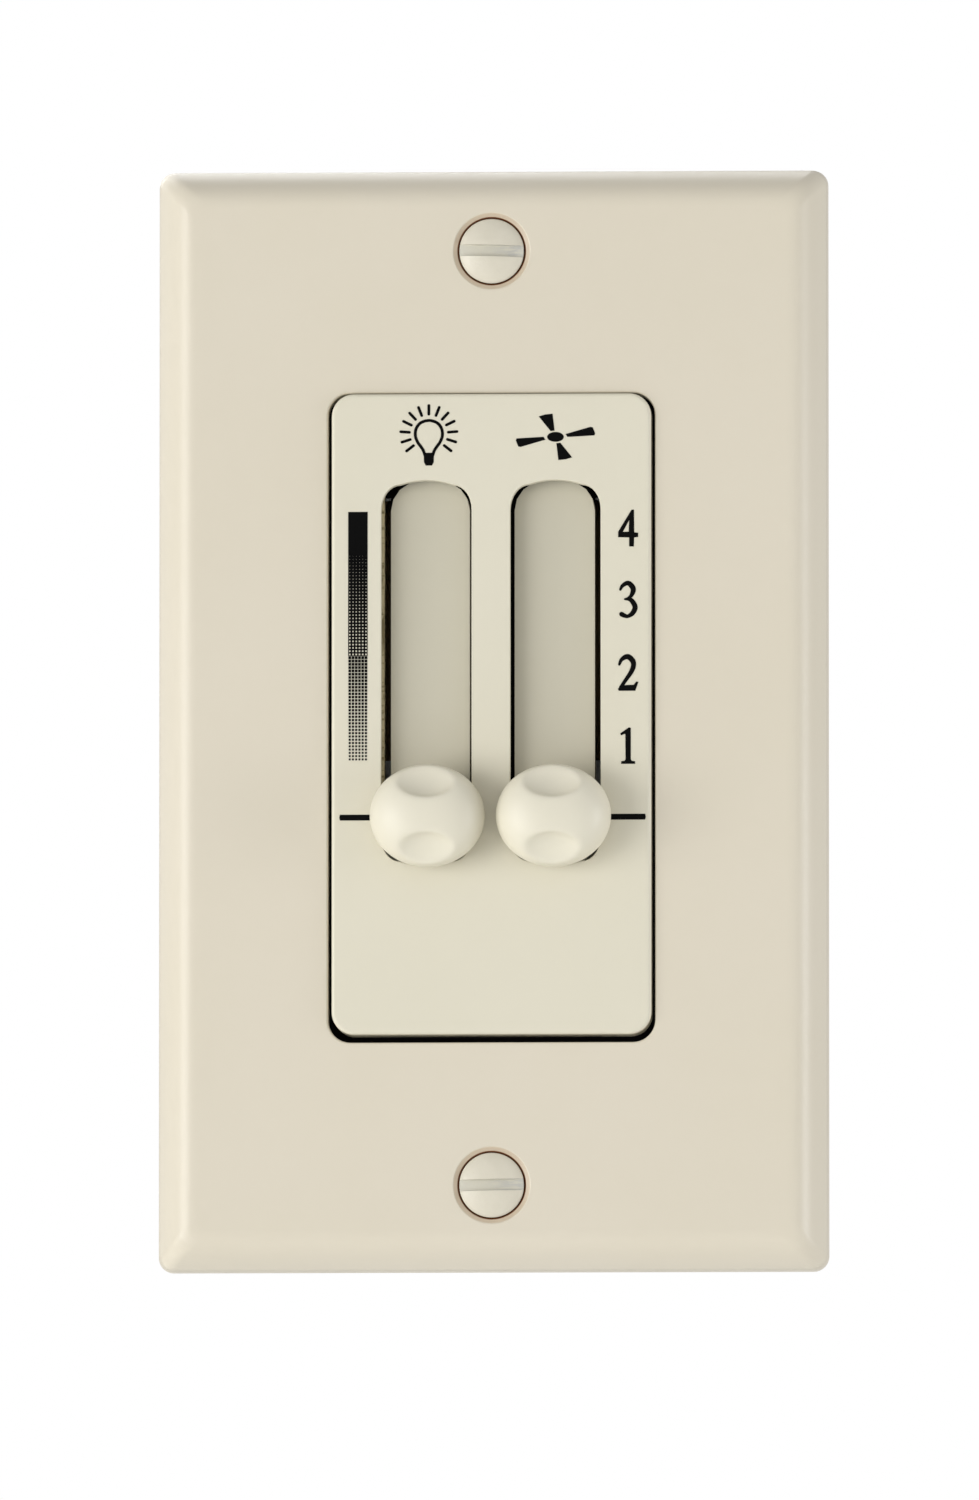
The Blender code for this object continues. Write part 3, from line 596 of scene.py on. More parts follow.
@dataclass
class Sketch:
    """A node tree while it is being wired."""

    tree: bpy.types.NodeTree

    def add(self, kind: str, **values: object) -> Node:
        """Adds a node.

        Args:
            kind: The node's type, without its ShaderNode prefix.
            values: Properties of the node, and values or links of its inputs by name with _ for a space.

        Returns:
            The node.
        """
        node = self.tree.nodes.new("ShaderNode" + kind)
        for key, value in values.items():
            if hasattr(node, key):
                setattr(node, key, value)
            else:
                self.feed(node.inputs[key.replace("_", " ")], value)
        return node

    def feed(self, socket: Socket, value: object) -> None:
        """Links a socket to an output, or sets its value.

        Args:
            socket: The input to feed.
            value: An output socket, or a plain value.
        """
        if isinstance(value, Socket):
            self.tree.links.new(value, socket)
        elif isinstance(value, tuple) and len(value) == 3 and socket.type == "RGBA":
            socket.default_value = (*value, 1.0)
        else:
            socket.default_value = value

    def math(self, operation: str, first: object, second: object = 0.0) -> Socket:
        """Adds one sum and returns its result.

        Args:
            operation: Blender's name for the sum.
            first: First number or output.
            second: Second number or output.

        Returns:
            The output socket.
        """
        node = self.add("Math", operation=operation)
        self.feed(node.inputs[0], first)
        self.feed(node.inputs[1], second)
        return node.outputs[0]

    def line(self, value: Socket, slope: float, start: float) -> Socket:
        """Gives a value times a slope, plus a start."""
        result = self.math("MULTIPLY_ADD", value, slope)
        self.feed(result.node.inputs[2], start)
        return result

    def squeeze(self, vector: Socket, factors: object) -> Socket:
        """Gives coordinates with each axis multiplied by its own factor."""
        node = self.add("VectorMath", operation="MULTIPLY")
        self.feed(node.inputs[0], vector)
        self.feed(node.inputs[1], factors)
        return node.outputs[0]

    def ramp(self, value: Socket, low: float, high: float) -> Socket:
        """Turns a value into a mask that rises smoothly from 0 at low to 1 at high.

        Args:
            value: The value to read.
            low: Where the mask starts to rise.
            high: Where it is full.

        Returns:
            The mask.
        """
        node = self.add("MapRange", interpolation_type="SMOOTHSTEP")
        self.feed(node.inputs["Value"], value)
        self.feed(node.inputs["From Min"], low)
        self.feed(node.inputs["From Max"], high)
        return node.outputs["Result"]

    def mix(self, factor: object, first: object, second: object) -> Socket:
        """Mixes two colours.

        Args:
            factor: Share of the second colour.
            first: First colour.
            second: Second colour.

        Returns:
            The mixed colour.
        """
        node = self.add("Mix", data_type="RGBA")
        self.feed(node.inputs[0], factor)
        self.feed(node.inputs[6], first)
        self.feed(node.inputs[7], second)
        return node.outputs[2]

    def millimetres(self) -> Socket:
        """Adds object coordinates in millimetres."""
        coordinates = self.add("TexCoord").outputs["Object"]
        return self.add("Mapping", Vector=coordinates, Scale=(1 / MM,) * 3).outputs["Vector"]

    def effect(self, effect: str, vector: Socket, **values: object) -> Node:
        """Places a shared effect.

        Args:
            effect: Name of the node group.
            vector: Coordinates that it reads.
            values: Its other inputs, by name with _ for a space.

        Returns:
            The placed group.
        """
        node = self.add("Group", node_tree=bpy.data.node_groups[effect], Vector=vector)
        for key, value in values.items():
            self.feed(node.inputs[key.replace("_", " ")], value)
        return node

    def texture(self, shader: Node, effect: Node, rough: Point, depth: float) -> None:
        """Wires a placed effect into a shader's roughness and normal.

        Args:
            shader: The shader.
            effect: The placed effect, with a mask and a height.
            rough: Roughness where the mask is 0, and how much it rises by where the mask is 1.
            depth: Depth in millimetres of the height.
        """
        start, rise = rough
        self.feed(shader.inputs["Roughness"], self.line(effect.outputs["Mask"], rise, start))
        bump = self.add("Bump", Height=effect.outputs["Height"], Strength=1.0, Distance=depth * MM)
        self.feed(shader.inputs["Normal"], bump.outputs["Normal"])


@dataclass
class Effect:
    """A node group in the making, with its named inputs and outputs."""

    name: str
    inputs: dict[str, tuple[str, object]]
    outputs: dict[str, str]
    sketch: Sketch = field(init=False)
    given: dict[str, Socket] = field(init=False)
    result: Node = field(init=False)

    def __post_init__(self) -> None:
        """Makes the group's sockets and its end nodes."""
        tree = bpy.data.node_groups.new(self.name, "ShaderNodeTree")
        for name, (kind, default) in self.inputs.items():
            socket = tree.interface.new_socket(name, in_out="INPUT", socket_type="NodeSocket" + kind)
            if default is not None:
                socket.default_value = default
        for name, kind in self.outputs.items():
            tree.interface.new_socket(name, in_out="OUTPUT", socket_type="NodeSocket" + kind)
        self.sketch = Sketch(tree)
        source = tree.nodes.new("NodeGroupInput")
        self.result = tree.nodes.new("NodeGroupOutput")
        self.given = {name: source.outputs[name] for name in self.inputs}

    def give(self, name: str, value: Socket) -> None:
        """Links a result to one of the group's outputs."""
        self.sketch.feed(self.result.inputs[name], value)


def build_moulded_grain() -> None:
    """Fine texture of a moulded or painted surface, with a slow waviness under it."""
    effect = Effect(
        "moulded_grain",
        {"Vector": ("Vector", None), "Grain per mm": ("Float", 4.0), "Waviness": ("Float", 0.3)},
        {"Height": "Float", "Mask": "Float"},
    )
    pen, given = effect.sketch, effect.given
    scale = given["Grain per mm"]
    fine = pen.add("TexNoise", Vector=given["Vector"], Scale=scale, Detail=3.0, Roughness=0.6)
    slow = pen.add("TexNoise", Vector=given["Vector"], Scale=0.12, Detail=1.0)
    wave = pen.math("MULTIPLY", slow.outputs[0], given["Waviness"])
    effect.give("Height", pen.math("ADD", fine.outputs[0], wave))
    effect.give("Mask", pen.ramp(fine.outputs[0], 0.35, 0.65))


def build_tone_drift() -> None:
    """Slow change of tone over a surface, from a base colour towards a second one."""
    effect = Effect(
        "tone_drift",
        {
            "Vector": ("Vector", None),
            "Base": ("Color", None),
            "Towards": ("Color", None),
            "Amount": ("Float", 0.3),
            "Patch per mm": ("Float", 0.05),
        },
        {"Color": "Color"},
    )
    pen, given = effect.sketch, effect.given
    scale = given["Patch per mm"]
    patch = pen.add("TexNoise", Vector=given["Vector"], Scale=scale, Detail=4.0, Roughness=0.55)
    share = pen.math("MULTIPLY", pen.ramp(patch.outputs[0], 0.3, 0.7), given["Amount"])
    effect.give("Color", pen.mix(share, given["Base"], given["Towards"]))


def build_dust_specks() -> None:
    """Sparse round specks, each of its own size."""
    effect = Effect(
        "dust_specks",
        {"Vector": ("Vector", None), "Spacing": ("Float", 6.0), "Largest": ("Float", 0.12)},
        {"Mask": "Float"},
    )
    pen, given = effect.sketch, effect.given
    cells = pen.add("TexVoronoi", Vector=given["Vector"], Scale=pen.math("DIVIDE", 1.0, given["Spacing"]))
    tint = pen.add("SeparateColor", Color=cells.outputs["Color"])
    size = pen.math("MULTIPLY", given["Largest"], pen.math("POWER", tint.outputs[0], 3.0))
    reach = pen.math("DIVIDE", size, given["Spacing"])
    inside = pen.math("SUBTRACT", reach, cells.outputs["Distance"])
    effect.give("Mask", pen.ramp(inside, 0.0, 0.004))


def build_brushed_grain() -> None:
    """Fine lines along one direction, as on rolled or brushed metal."""
    effect = Effect(
        "brushed_grain",
        {
            "Vector": ("Vector", None),
            "Squeeze": ("Vector", (1.0, 1.0, 0.05)),
            "Lines per mm": ("Float", 8.0),
        },
        {"Height": "Float", "Mask": "Float"},
    )
    pen, given = effect.sketch, effect.given
    squeezed = pen.squeeze(given["Vector"], given["Squeeze"])
    lines = pen.add("TexNoise", Vector=squeezed, Scale=given["Lines per mm"], Detail=5.0, Roughness=0.7)
    effect.give("Height", lines.outputs[0])
    effect.give("Mask", pen.ramp(lines.outputs[0], 0.4, 0.6))


def build_fibre_weave() -> None:
    """Short flecks in two directions, as in pressed paper board."""
    effect = Effect(
        "fibre_weave",
        {"Vector": ("Vector", None), "Flecks per mm": ("Float", 3.0)},
        {"Height": "Float", "Mask": "Float"},
    )
    pen, given = effect.sketch, effect.given
    masks = []
    for factors in ((1.0, 1.0, 0.12), (0.12, 1.0, 1.0)):
        squeezed = pen.squeeze(given["Vector"], factors)
        flecks = pen.add("TexNoise", Vector=squeezed, Scale=given["Flecks per mm"], Detail=3.0)
        masks.append(pen.ramp(flecks.outputs[0], 0.48, 0.68))
    both = pen.math("MAXIMUM", masks[0], masks[1])
    effect.give("Height", both)
    effect.give("Mask", both)


def build_effects() -> None:
    """Builds every shared node group once."""
    build_moulded_grain()
    build_tone_drift()
    build_dust_specks()
    build_brushed_grain()
    build_fibre_weave()


# ---- Finishes ----


@dataclass(frozen=True)
class Finish:
    """What a piece is made of. Each kind of finish dresses its own shader."""

    name: str
    slot: str
    colour: Colour
    drift: Colour
    roughness: float = 0.4

    def material(self) -> bpy.types.Material:
        """Gives the material of this finish, and builds it the first time.

        Returns:
            The material.
        """
        if self.name in bpy.data.materials:
            return bpy.data.materials[self.name]
        made = bpy.data.materials.new(self.name)
        made.use_nodes = True
        made.diffuse_color = (*self.colour, 1.0)
        self.dress(Sketch(made.node_tree), made.node_tree.nodes["Principled BSDF"])
        return made

    def tone(self, pen: Sketch, place: Socket, **values: float) -> Socket:
        """Gives the finish's colour as it drifts over the surface.

        Args:
            pen: The material's tree.
            place: Coordinates in millimetres.
            values: How far and how fast it drifts, where that isn't the usual.

        Returns:
            The colour.
        """
        tone = pen.effect("tone_drift", place, Base=self.colour, Towards=self.drift, **values)
        return tone.outputs["Color"]

    def dress(self, pen: Sketch, shader: Node) -> None:
        """Wires the finish into its shader."""
        raise NotImplementedError


@dataclass(frozen=True)
class Plastic(Finish):
    """Moulded or painted plastic: fine grain, a slow drift of tone and a few specks of dust."""

    grain_per_mm: float = 5.0
    grain_depth: float = 0.004
    drift_amount: float = 0.5
    speck_spacing: float = 9.0
    speck_size: float = 0.22
    speck_colour: Colour = (0.3, 0.26, 0.2)
    speck_share: float = 0.6
    sheen_spread: float = 0.06
    shine: float = 0.5
    ior: float = 1.49

    def dress(self, pen: Sketch, shader: Node) -> None:
        """Wires grain, drift and specks into the shader."""
        place = pen.millimetres()
        specks = pen.effect("dust_specks", place, Spacing=self.speck_spacing, Largest=self.speck_size)
        faint = pen.math("MULTIPLY", specks.outputs["Mask"], self.speck_share)
        tone = self.tone(pen, place, Amount=self.drift_amount)
        pen.feed(shader.inputs["Base Color"], pen.mix(faint, tone, self.speck_colour))
        grain = pen.effect("moulded_grain", place, Grain_per_mm=self.grain_per_mm)
        rough = (self.roughness - self.sheen_spread / 2, self.sheen_spread)
        pen.texture(shader, grain, rough, self.grain_depth)
        shader.inputs["IOR"].default_value = self.ior
        shader.inputs["Specular IOR Level"].default_value = self.shine


@dataclass(frozen=True)
class SeatedPlastic(Plastic):
    """The plate's plastic, with painted shade in each screw seat: a brownish darkening on its ring and a
    dark brown in its crevice.
    """

    seat_radius: float = 4.0
    seat_fade: float = 0.1
    ring_y: Point = (-5.56, -5.46)
    crevice_y: Point = (-5.34, -5.28)
    seat_ring_shade: Colour = (0.58, 0.48, 0.355)
    crevice_shade: Colour = (0.15, 0.048, 0.012)

    def dress(self, pen: Sketch, shader: Node) -> None:
        """Wires the plastic, then the painted shade of the seats over its base colour."""
        super().dress(pen, shader)
        parts = pen.add("SeparateXYZ", Vector=pen.millimetres())
        rise = pen.math("SUBTRACT", pen.math("ABSOLUTE", parts.outputs["Z"]), PLATE_SCREW_Z)
        squares = [pen.math("POWER", value, 2.0) for value in (parts.outputs["X"], rise)]
        radius = pen.math("SQRT", pen.math("ADD", *squares))
        outside = pen.ramp(radius, self.seat_radius, self.seat_radius + self.seat_fade)
        inside = pen.math("SUBTRACT", 1.0, outside)
        colour = shader.inputs["Base Color"].links[0].from_socket
        # Painted shade: within each seat's radius, the ring and the crevice are darkened by depth.
        for depths, shade_tint in ((self.ring_y, self.seat_ring_shade), (self.crevice_y, self.crevice_shade)):
            share = pen.math("MULTIPLY", inside, pen.ramp(parts.outputs["Y"], *depths))
            colour = pen.mix(share, colour, shade_tint)
        pen.feed(shader.inputs["Base Color"], colour)


@dataclass(frozen=True)
class Metal(Finish):
    """Plated or rolled metal with brushed lines and a duller film in patches."""

    squeeze: Corner = (1.0, 1.0, 0.05)
    lines_per_mm: float = 8.0
    line_depth: float = 0.004
    film: float = 0.35
    unevenness: float = 0.16

    def dress(self, pen: Sketch, shader: Node) -> None:
        """Wires the brushed lines and the film into the shader."""
        place = pen.millimetres()
        lines = pen.effect("brushed_grain", place, Squeeze=self.squeeze, Lines_per_mm=self.lines_per_mm)
        dull = pen.math("MULTIPLY", lines.outputs["Mask"], self.film)
        tone = self.tone(pen, place, Amount=0.8, Patch_per_mm=0.25)
        pen.feed(shader.inputs["Base Color"], pen.mix(dull, tone, self.drift))
        pen.texture(shader, lines, (self.roughness, self.unevenness), self.line_depth)
        shader.inputs["Metallic"].default_value = 1.0


@dataclass(frozen=True)
class ScrewPaint(Finish):
    """Painted screw head, rubbed to bare metal along its slot.

    The slot runs through (0, slot_z) at a small tilt.
    """

    slot_z: float = 0.0
    slot_tilt: float = 0.0
    bare: Colour = (0.52, 0.53, 0.54)
    worn: Colour = (0.66, 0.64, 0.55)
    rub_half_width: float = 0.66
    rub_fade: float = 0.1
    rub_x: Point = (-1.5, 3.2)
    rub_share: float = 0.5
    worn_share: float = 0.85
    unevenness: float = 0.08
    dent_depth: float = 0.03

    def dress(self, pen: Sketch, shader: Node) -> None:
        """Wires paint, grain and the rubbed band into the shader."""
        place = pen.millimetres()
        parts = pen.add("SeparateXYZ", Vector=place)
        slope = pen.math("MULTIPLY", parts.outputs["X"], math.tan(self.slot_tilt))
        rise = pen.math("SUBTRACT", parts.outputs["Z"], self.slot_z)
        offset = pen.math("ABSOLUTE", pen.math("ADD", rise, slope))
        outside = pen.ramp(offset, self.rub_half_width - self.rub_fade, self.rub_half_width)
        band = pen.math("SUBTRACT", 1.0, outside)
        scratches = pen.effect("brushed_grain", place, Squeeze=(0.15, 1.0, 1.0), Lines_per_mm=5.0)
        to_right = pen.ramp(parts.outputs["X"], *self.rub_x)
        reach = pen.math("MULTIPLY", pen.math("MULTIPLY", band, to_right), self.rub_share)
        rubbed = pen.math("MULTIPLY", reach, scratches.outputs["Mask"])
        tone = self.tone(pen, place, Patch_per_mm=0.6)
        dulled = pen.mix(pen.math("MULTIPLY", band, self.worn_share), tone, self.worn)
        pen.feed(shader.inputs["Base Color"], pen.mix(rubbed, dulled, self.bare))
        pen.feed(shader.inputs["Metallic"], rubbed)
        grain = pen.effect("moulded_grain", place, Grain_per_mm=3.0, Waviness=0.8)
        pen.texture(shader, grain, (self.roughness, self.unevenness), self.dent_depth)


@dataclass(frozen=True)
class PressedBoard(Finish):
    """Phenolic board, fibre or felt: flecks in two directions."""

    flecks_per_mm: float = 3.0
    fleck_share: float = 0.5
    fleck_depth: float = 0.01
    unevenness: float = 0.12

    def dress(self, pen: Sketch, shader: Node) -> None:
        """Wires the flecks into the shader."""
        place = pen.millimetres()
        weave = pen.effect("fibre_weave", place, Flecks_per_mm=self.flecks_per_mm)
        share = pen.math("MULTIPLY", weave.outputs["Mask"], self.fleck_share)
        tone = self.tone(pen, place, Patch_per_mm=0.2)
        pen.feed(shader.inputs["Base Color"], pen.mix(share, tone, self.drift))
        pen.texture(shader, weave, (self.roughness, self.unevenness), self.fleck_depth)


PLATE_PLASTIC = SeatedPlastic(
    "plate_plastic",
    "ivory_plastic",
    (0.715, 0.66, 0.545),
    (0.70, 0.645, 0.52),
    roughness=0.36,
    grain_per_mm=3.0,
)
INSERT_PLASTIC = Plastic(
    "insert_plastic",
    "ivory_insert",
    (0.725, 0.69, 0.565),
    (0.71, 0.675, 0.545),
    roughness=0.5,
    speck_spacing=14.0,
)
# A darker copy of the insert's plastic: painted shade for the recessed slot floor.
SHADED_FLOOR_PLASTIC = Plastic(
    "slot_floor_shaded_plastic", "ivory_insert", (0.60, 0.57, 0.46), (0.57, 0.54, 0.43), roughness=0.5
)
KNOB_PLASTIC = Plastic(
    "knob_plastic",
    "ivory_plastic",
    (0.76, 0.725, 0.60),
    (0.75, 0.71, 0.585),
    roughness=0.42,
    grain_depth=0.002,
    speck_spacing=20.0,
)
BLACK_PLASTIC = Plastic(
    "housing_plastic",
    "black_plastic",
    (0.022, 0.022, 0.024),
    (0.035, 0.035, 0.037),
    roughness=0.5,
    grain_depth=0.03,
    speck_colour=(0.12, 0.12, 0.12),
)
INK = Plastic(
    "printed_ink",
    "black_plastic",
    (0.002, 0.002, 0.002),
    (0.004, 0.004, 0.004),
    roughness=0.7,
    shine=0.06,
)
# Near-black sheet behind the gaps round the insert and the slot floor: painted shade, so that the gaps
# render black.
SHADE_SHEET = Plastic(
    "black_shade_sheet", "black_plastic", (0.004, 0.004, 0.004), (0.007, 0.006, 0.005), roughness=0.8, shine=0.1
)
NYLON = Plastic("carriage_nylon", "white_nylon", (0.78, 0.78, 0.74), (0.72, 0.72, 0.68), roughness=0.45)
YELLOW_CASE = Plastic("yellow_case", "yellow_case", (0.62, 0.40, 0.04), (0.5, 0.3, 0.03), roughness=0.35)
BLUE_CASE = Plastic("blue_case", "blue_case", (0.02, 0.06, 0.28), (0.03, 0.08, 0.34), roughness=0.35)
TAN_BODY = Plastic("tan_body", "tan_body", (0.48, 0.3, 0.15), (0.42, 0.25, 0.12), roughness=0.5)
DIODE_GLASS = Plastic("diode_glass", "diode_glass", (0.5, 0.13, 0.03), (0.6, 0.2, 0.06), roughness=0.12)
FERRITE = Plastic(
    "ferrite", "ferrite", (0.03, 0.03, 0.03), (0.05, 0.05, 0.05), roughness=0.7, grain_depth=0.05
)
MICA = Plastic("mica", "mica", (0.6, 0.55, 0.42), (0.52, 0.47, 0.35), roughness=0.25)
ZINC = Metal("zinc_steel", "zinc_steel", (0.56, 0.56, 0.54), (0.42, 0.41, 0.38), roughness=0.3)
ALUMINIUM = Metal(
    "strap_aluminium",
    "bare_aluminium",
    (0.66, 0.67, 0.68),
    (0.5, 0.51, 0.52),
    roughness=0.34,
    lines_per_mm=10.0,
)
GREEN_SCREW = Metal("green_screw", "green_screw", (0.02, 0.2, 0.05), (0.03, 0.28, 0.08), roughness=0.3)
BRONZE = Metal("spring_bronze", "spring_bronze", (0.62, 0.36, 0.13), (0.5, 0.27, 0.09), roughness=0.28)
COPPER = Metal(
    "copper_wire",
    "copper_wire",
    (0.55, 0.17, 0.05),
    (0.42, 0.11, 0.03),
    roughness=0.2,
    squeeze=(1.0, 0.1, 1.0),
)
RED_FIBRE = PressedBoard(
    "red_fibre", "red_fibre", (0.16, 0.035, 0.018), (0.26, 0.07, 0.035), roughness=0.7
)
FELT = PressedBoard(
    "dust_felt",
    "red_fibre",
    (0.66, 0.57, 0.36),
    (0.2, 0.16, 0.08),
    roughness=0.9,
    flecks_per_mm=2.2,
    fleck_share=0.9,
)
PHENOLIC = PressedBoard(
    "phenolic_board", "phenolic_board", (0.2, 0.1, 0.035), (0.28, 0.15, 0.06), roughness=0.5
)

FLOOR_PAINT = Plastic(
    "floor_paint", "", (0.93, 0.93, 0.92), (0.92, 0.92, 0.91), roughness=0.8, grain_per_mm=0.2
)
INNER_FINISHES = (BLACK_PLASTIC, NYLON, YELLOW_CASE, BLUE_CASE, TAN_BODY, DIODE_GLASS, FERRITE, MICA)
INNER_FINISHES += (ZINC, BRONZE, RED_FIBRE, PHENOLIC)
BY_SLOT = {finish.slot: finish for finish in INNER_FINISHES}


# ---- Wall plate and its two screws ----


@dataclass
class WallPlate:
    """The wall plate: a shell with a rolled edge, a window and two stepped screw seats."""

    corner: float = 1.6
    skirt: float = 1.4
    roll_start: float = 0.1
    roll: float = 4.1
    roll_steps: int = 18
    roll_power: float = 2.65
    wall: float = 1.9
    hollow_depths: Point = (2.2, 1.5)
    hollow_taper: Corner = (0.955, 1, 0.973)
    window_width: float = 33.8
    window_height: float = 67.3
    window_corner: float = 2.3
    window_edge: float = 0.28
    cut_y: Point = (-7.0, 1.0)
    rim: float = 1.5
    rim_y: Point = (-4.2, -3.0)
    boss: tuple[Point, ...] = ((3.05, -4.2), (3.05, -1.95), (2.9, -1.8))
    seat_edge: float = 0.09
    seat: tuple[Point, ...] = (
        (4.0, -7.0),
        (4.0, -5.6),
        (3.95, -5.5),
        (3.6, -5.36),
        (3.44, -5.16),
        (3.44, -4.84),
        (2.05, -3.45),
        (2.05, 1.0),
    )

    def shell(self) -> Piece:
        """Shapes the outside and hollows the back.

        Returns:
            The shell without its openings.
        """
        low, high = node_box("wall_plate")
        width, depth, height = high - low
        shell = add_block("wall_plate_shell", (low.x, -self.skirt, low.z), (high.x, 0.0, high.z))
        round_upright_edges(shell, self.corner, 8)
        with editing(shell):
            pick_faces(shell, lambda centre, normal: normal.y < -FACING)
            size, rise = Vector((width, height)), 0.0
            for step in range(self.roll_steps + 1):
                share = step / self.roll_steps
                inset = self.roll_start + self.roll * share
                height_now = (depth - self.skirt) * (1 - (1 - share) ** self.roll_power)
                new_size = Vector((width - 2 * inset, height - 2 * inset))
                factors = (new_size.x / size.x, 1, new_size.y / size.y)
                if step:
                    grow((0, rise - height_now, 0), factors)
                else:
                    bpy.ops.transform.resize(value=factors, center_override=ORIGIN)
                size, rise = new_size, height_now
            pick_faces(shell, lambda centre, normal: normal.y > FACING and at_depth(0.0, centre))
            straight, tapered = self.hollow_depths
            grow((0, 0, 0), (1 - 2 * self.wall / width, 1, 1 - 2 * self.wall / height))
            grow((0, -straight, 0))
            grow((0, -tapered, 0), self.hollow_taper)
        return shell

    def back_stiffening(self, shell: Piece) -> None:
        """Joins on the rim round the window and the boss behind each screw.

        Args:
            shell: The shell to change.
        """
        half_x, half_z = self.window_width / 2 + self.rim, self.window_height / 2 + self.rim
        rim = add_block("rim", (-half_x, self.rim_y[0], -half_z), (half_x, self.rim_y[1], half_z))
        round_upright_edges(rim, self.window_corner + self.rim, 6)
        carve(shell, rim, "UNION")
        for end in (-1, 1):
            carve(shell, add_turned("boss", self.boss, (0, end * PLATE_SCREW_Z), 48), "UNION")

    def openings(self, shell: Piece) -> None:
        """Cuts the window and the screw seats, and softens their front edges.

        Args:
            shell: The shell to change.
        """
        half_x, half_z = self.window_width / 2, self.window_height / 2
        front, back = self.cut_y
        window = add_block("window", (-half_x, front, -half_z), (half_x, back, half_z))
        round_upright_edges(window, self.window_corner, 10)
        carve(shell, window)
        for end in (-1, 1):
            carve(shell, add_turned("seat", self.seat, (0, end * PLATE_SCREW_Z), 72))
        face = node_box("wall_plate")[0].y
        near = 0.1

        def on_window(a: Vector, b: Vector) -> bool:
            """Whether an edge lies on the front edge of the window."""
            inside = [abs(v.x) < half_x + near and abs(v.z) < half_z + near for v in (a, b)]
            return at_depth(face, a, b) and all(inside)

        def on_seat(a: Vector, b: Vector) -> bool:
            """Whether an edge lies on the front edge of a screw seat."""
            radii = [math.hypot(v.x, abs(v.z) - PLATE_SCREW_Z) for v in (a, b)]
            return at_depth(face, a, b) and all(abs(r - self.seat[0][0]) < near / 2 for r in radii)

        with editing(shell):
            pick_edges(shell, on_window)
            bpy.ops.mesh.bevel(offset=self.window_edge, segments=4, affect="EDGES")
            pick_edges(shell, on_seat)
            bpy.ops.mesh.bevel(offset=self.seat_edge, segments=2, affect="EDGES")

    def build(self) -> None:
        """Builds and dresses the plate."""
        shell = self.shell()
        self.back_stiffening(shell)
        self.openings(shell)
        rename(shell, "moulded_wall_plate")
        shade(shell, 32)
        settle(shell, PLATE_PLASTIC, stands_for=("wall_plate",))


@dataclass
class PlateScrews:
    """The two slotted oval-head screws, whose paint is rubbed in the slot."""

    head: tuple[Point, ...] = (
        (1.2, 2.1),
        (1.75, 1.7),
        (1.75, -3.55),
        (3.3, -5.1),
        (3.35, -5.2),
        (3.35, -5.32),
        (3.28, -5.46),
        (3.1, -5.62),
        (2.8, -5.8),
        (2.4, -5.95),
        (1.9, -6.08),
        (1.3, -6.17),
        (0.6, -6.23),
        (0.1, -6.25),
    )
    slot_half: float = 0.6
    slot_reach: float = 5.0
    slot_y: Point = (-8.0, -5.45)
    tilts: Point = (1.5, -1.0)
    edge: float = 0.07

    def build(self) -> None:
        """Builds both screws."""
        for word, end, tilt in zip(("top", "bottom"), (1, -1), self.tilts):
            z = end * PLATE_SCREW_Z
            screw = add_turned(f"oval_screw_{word}", self.head, (0, z), 72)
            (front, floor), half = self.slot_y, self.slot_half
            low, high = (-self.slot_reach, front, z - half), (self.slot_reach, floor, z + half)
            slot = add_block("slot", low, high)
            turn = Matrix.Rotation(math.radians(tilt), 4, "Y")
            place_by(slot, Matrix.Translation((0, 0, z)) @ turn @ Matrix.Translation((0, 0, -z)))
            carve(screw, slot)
            soften(screw, self.edge, 3, 38)
            shade(screw, 40)
            paint = ScrewPaint(
                f"screw_paint_{word}",
                "ivory_paint",
                (0.70, 0.66, 0.55),
                (0.62, 0.58, 0.47),
                roughness=0.3,
                slot_z=z,
                slot_tilt=math.radians(tilt),
            )
            settle(screw, paint, stands_for=(f"plate_screw_{word}",))


# ---- Face insert, slot floor and printed marks ----


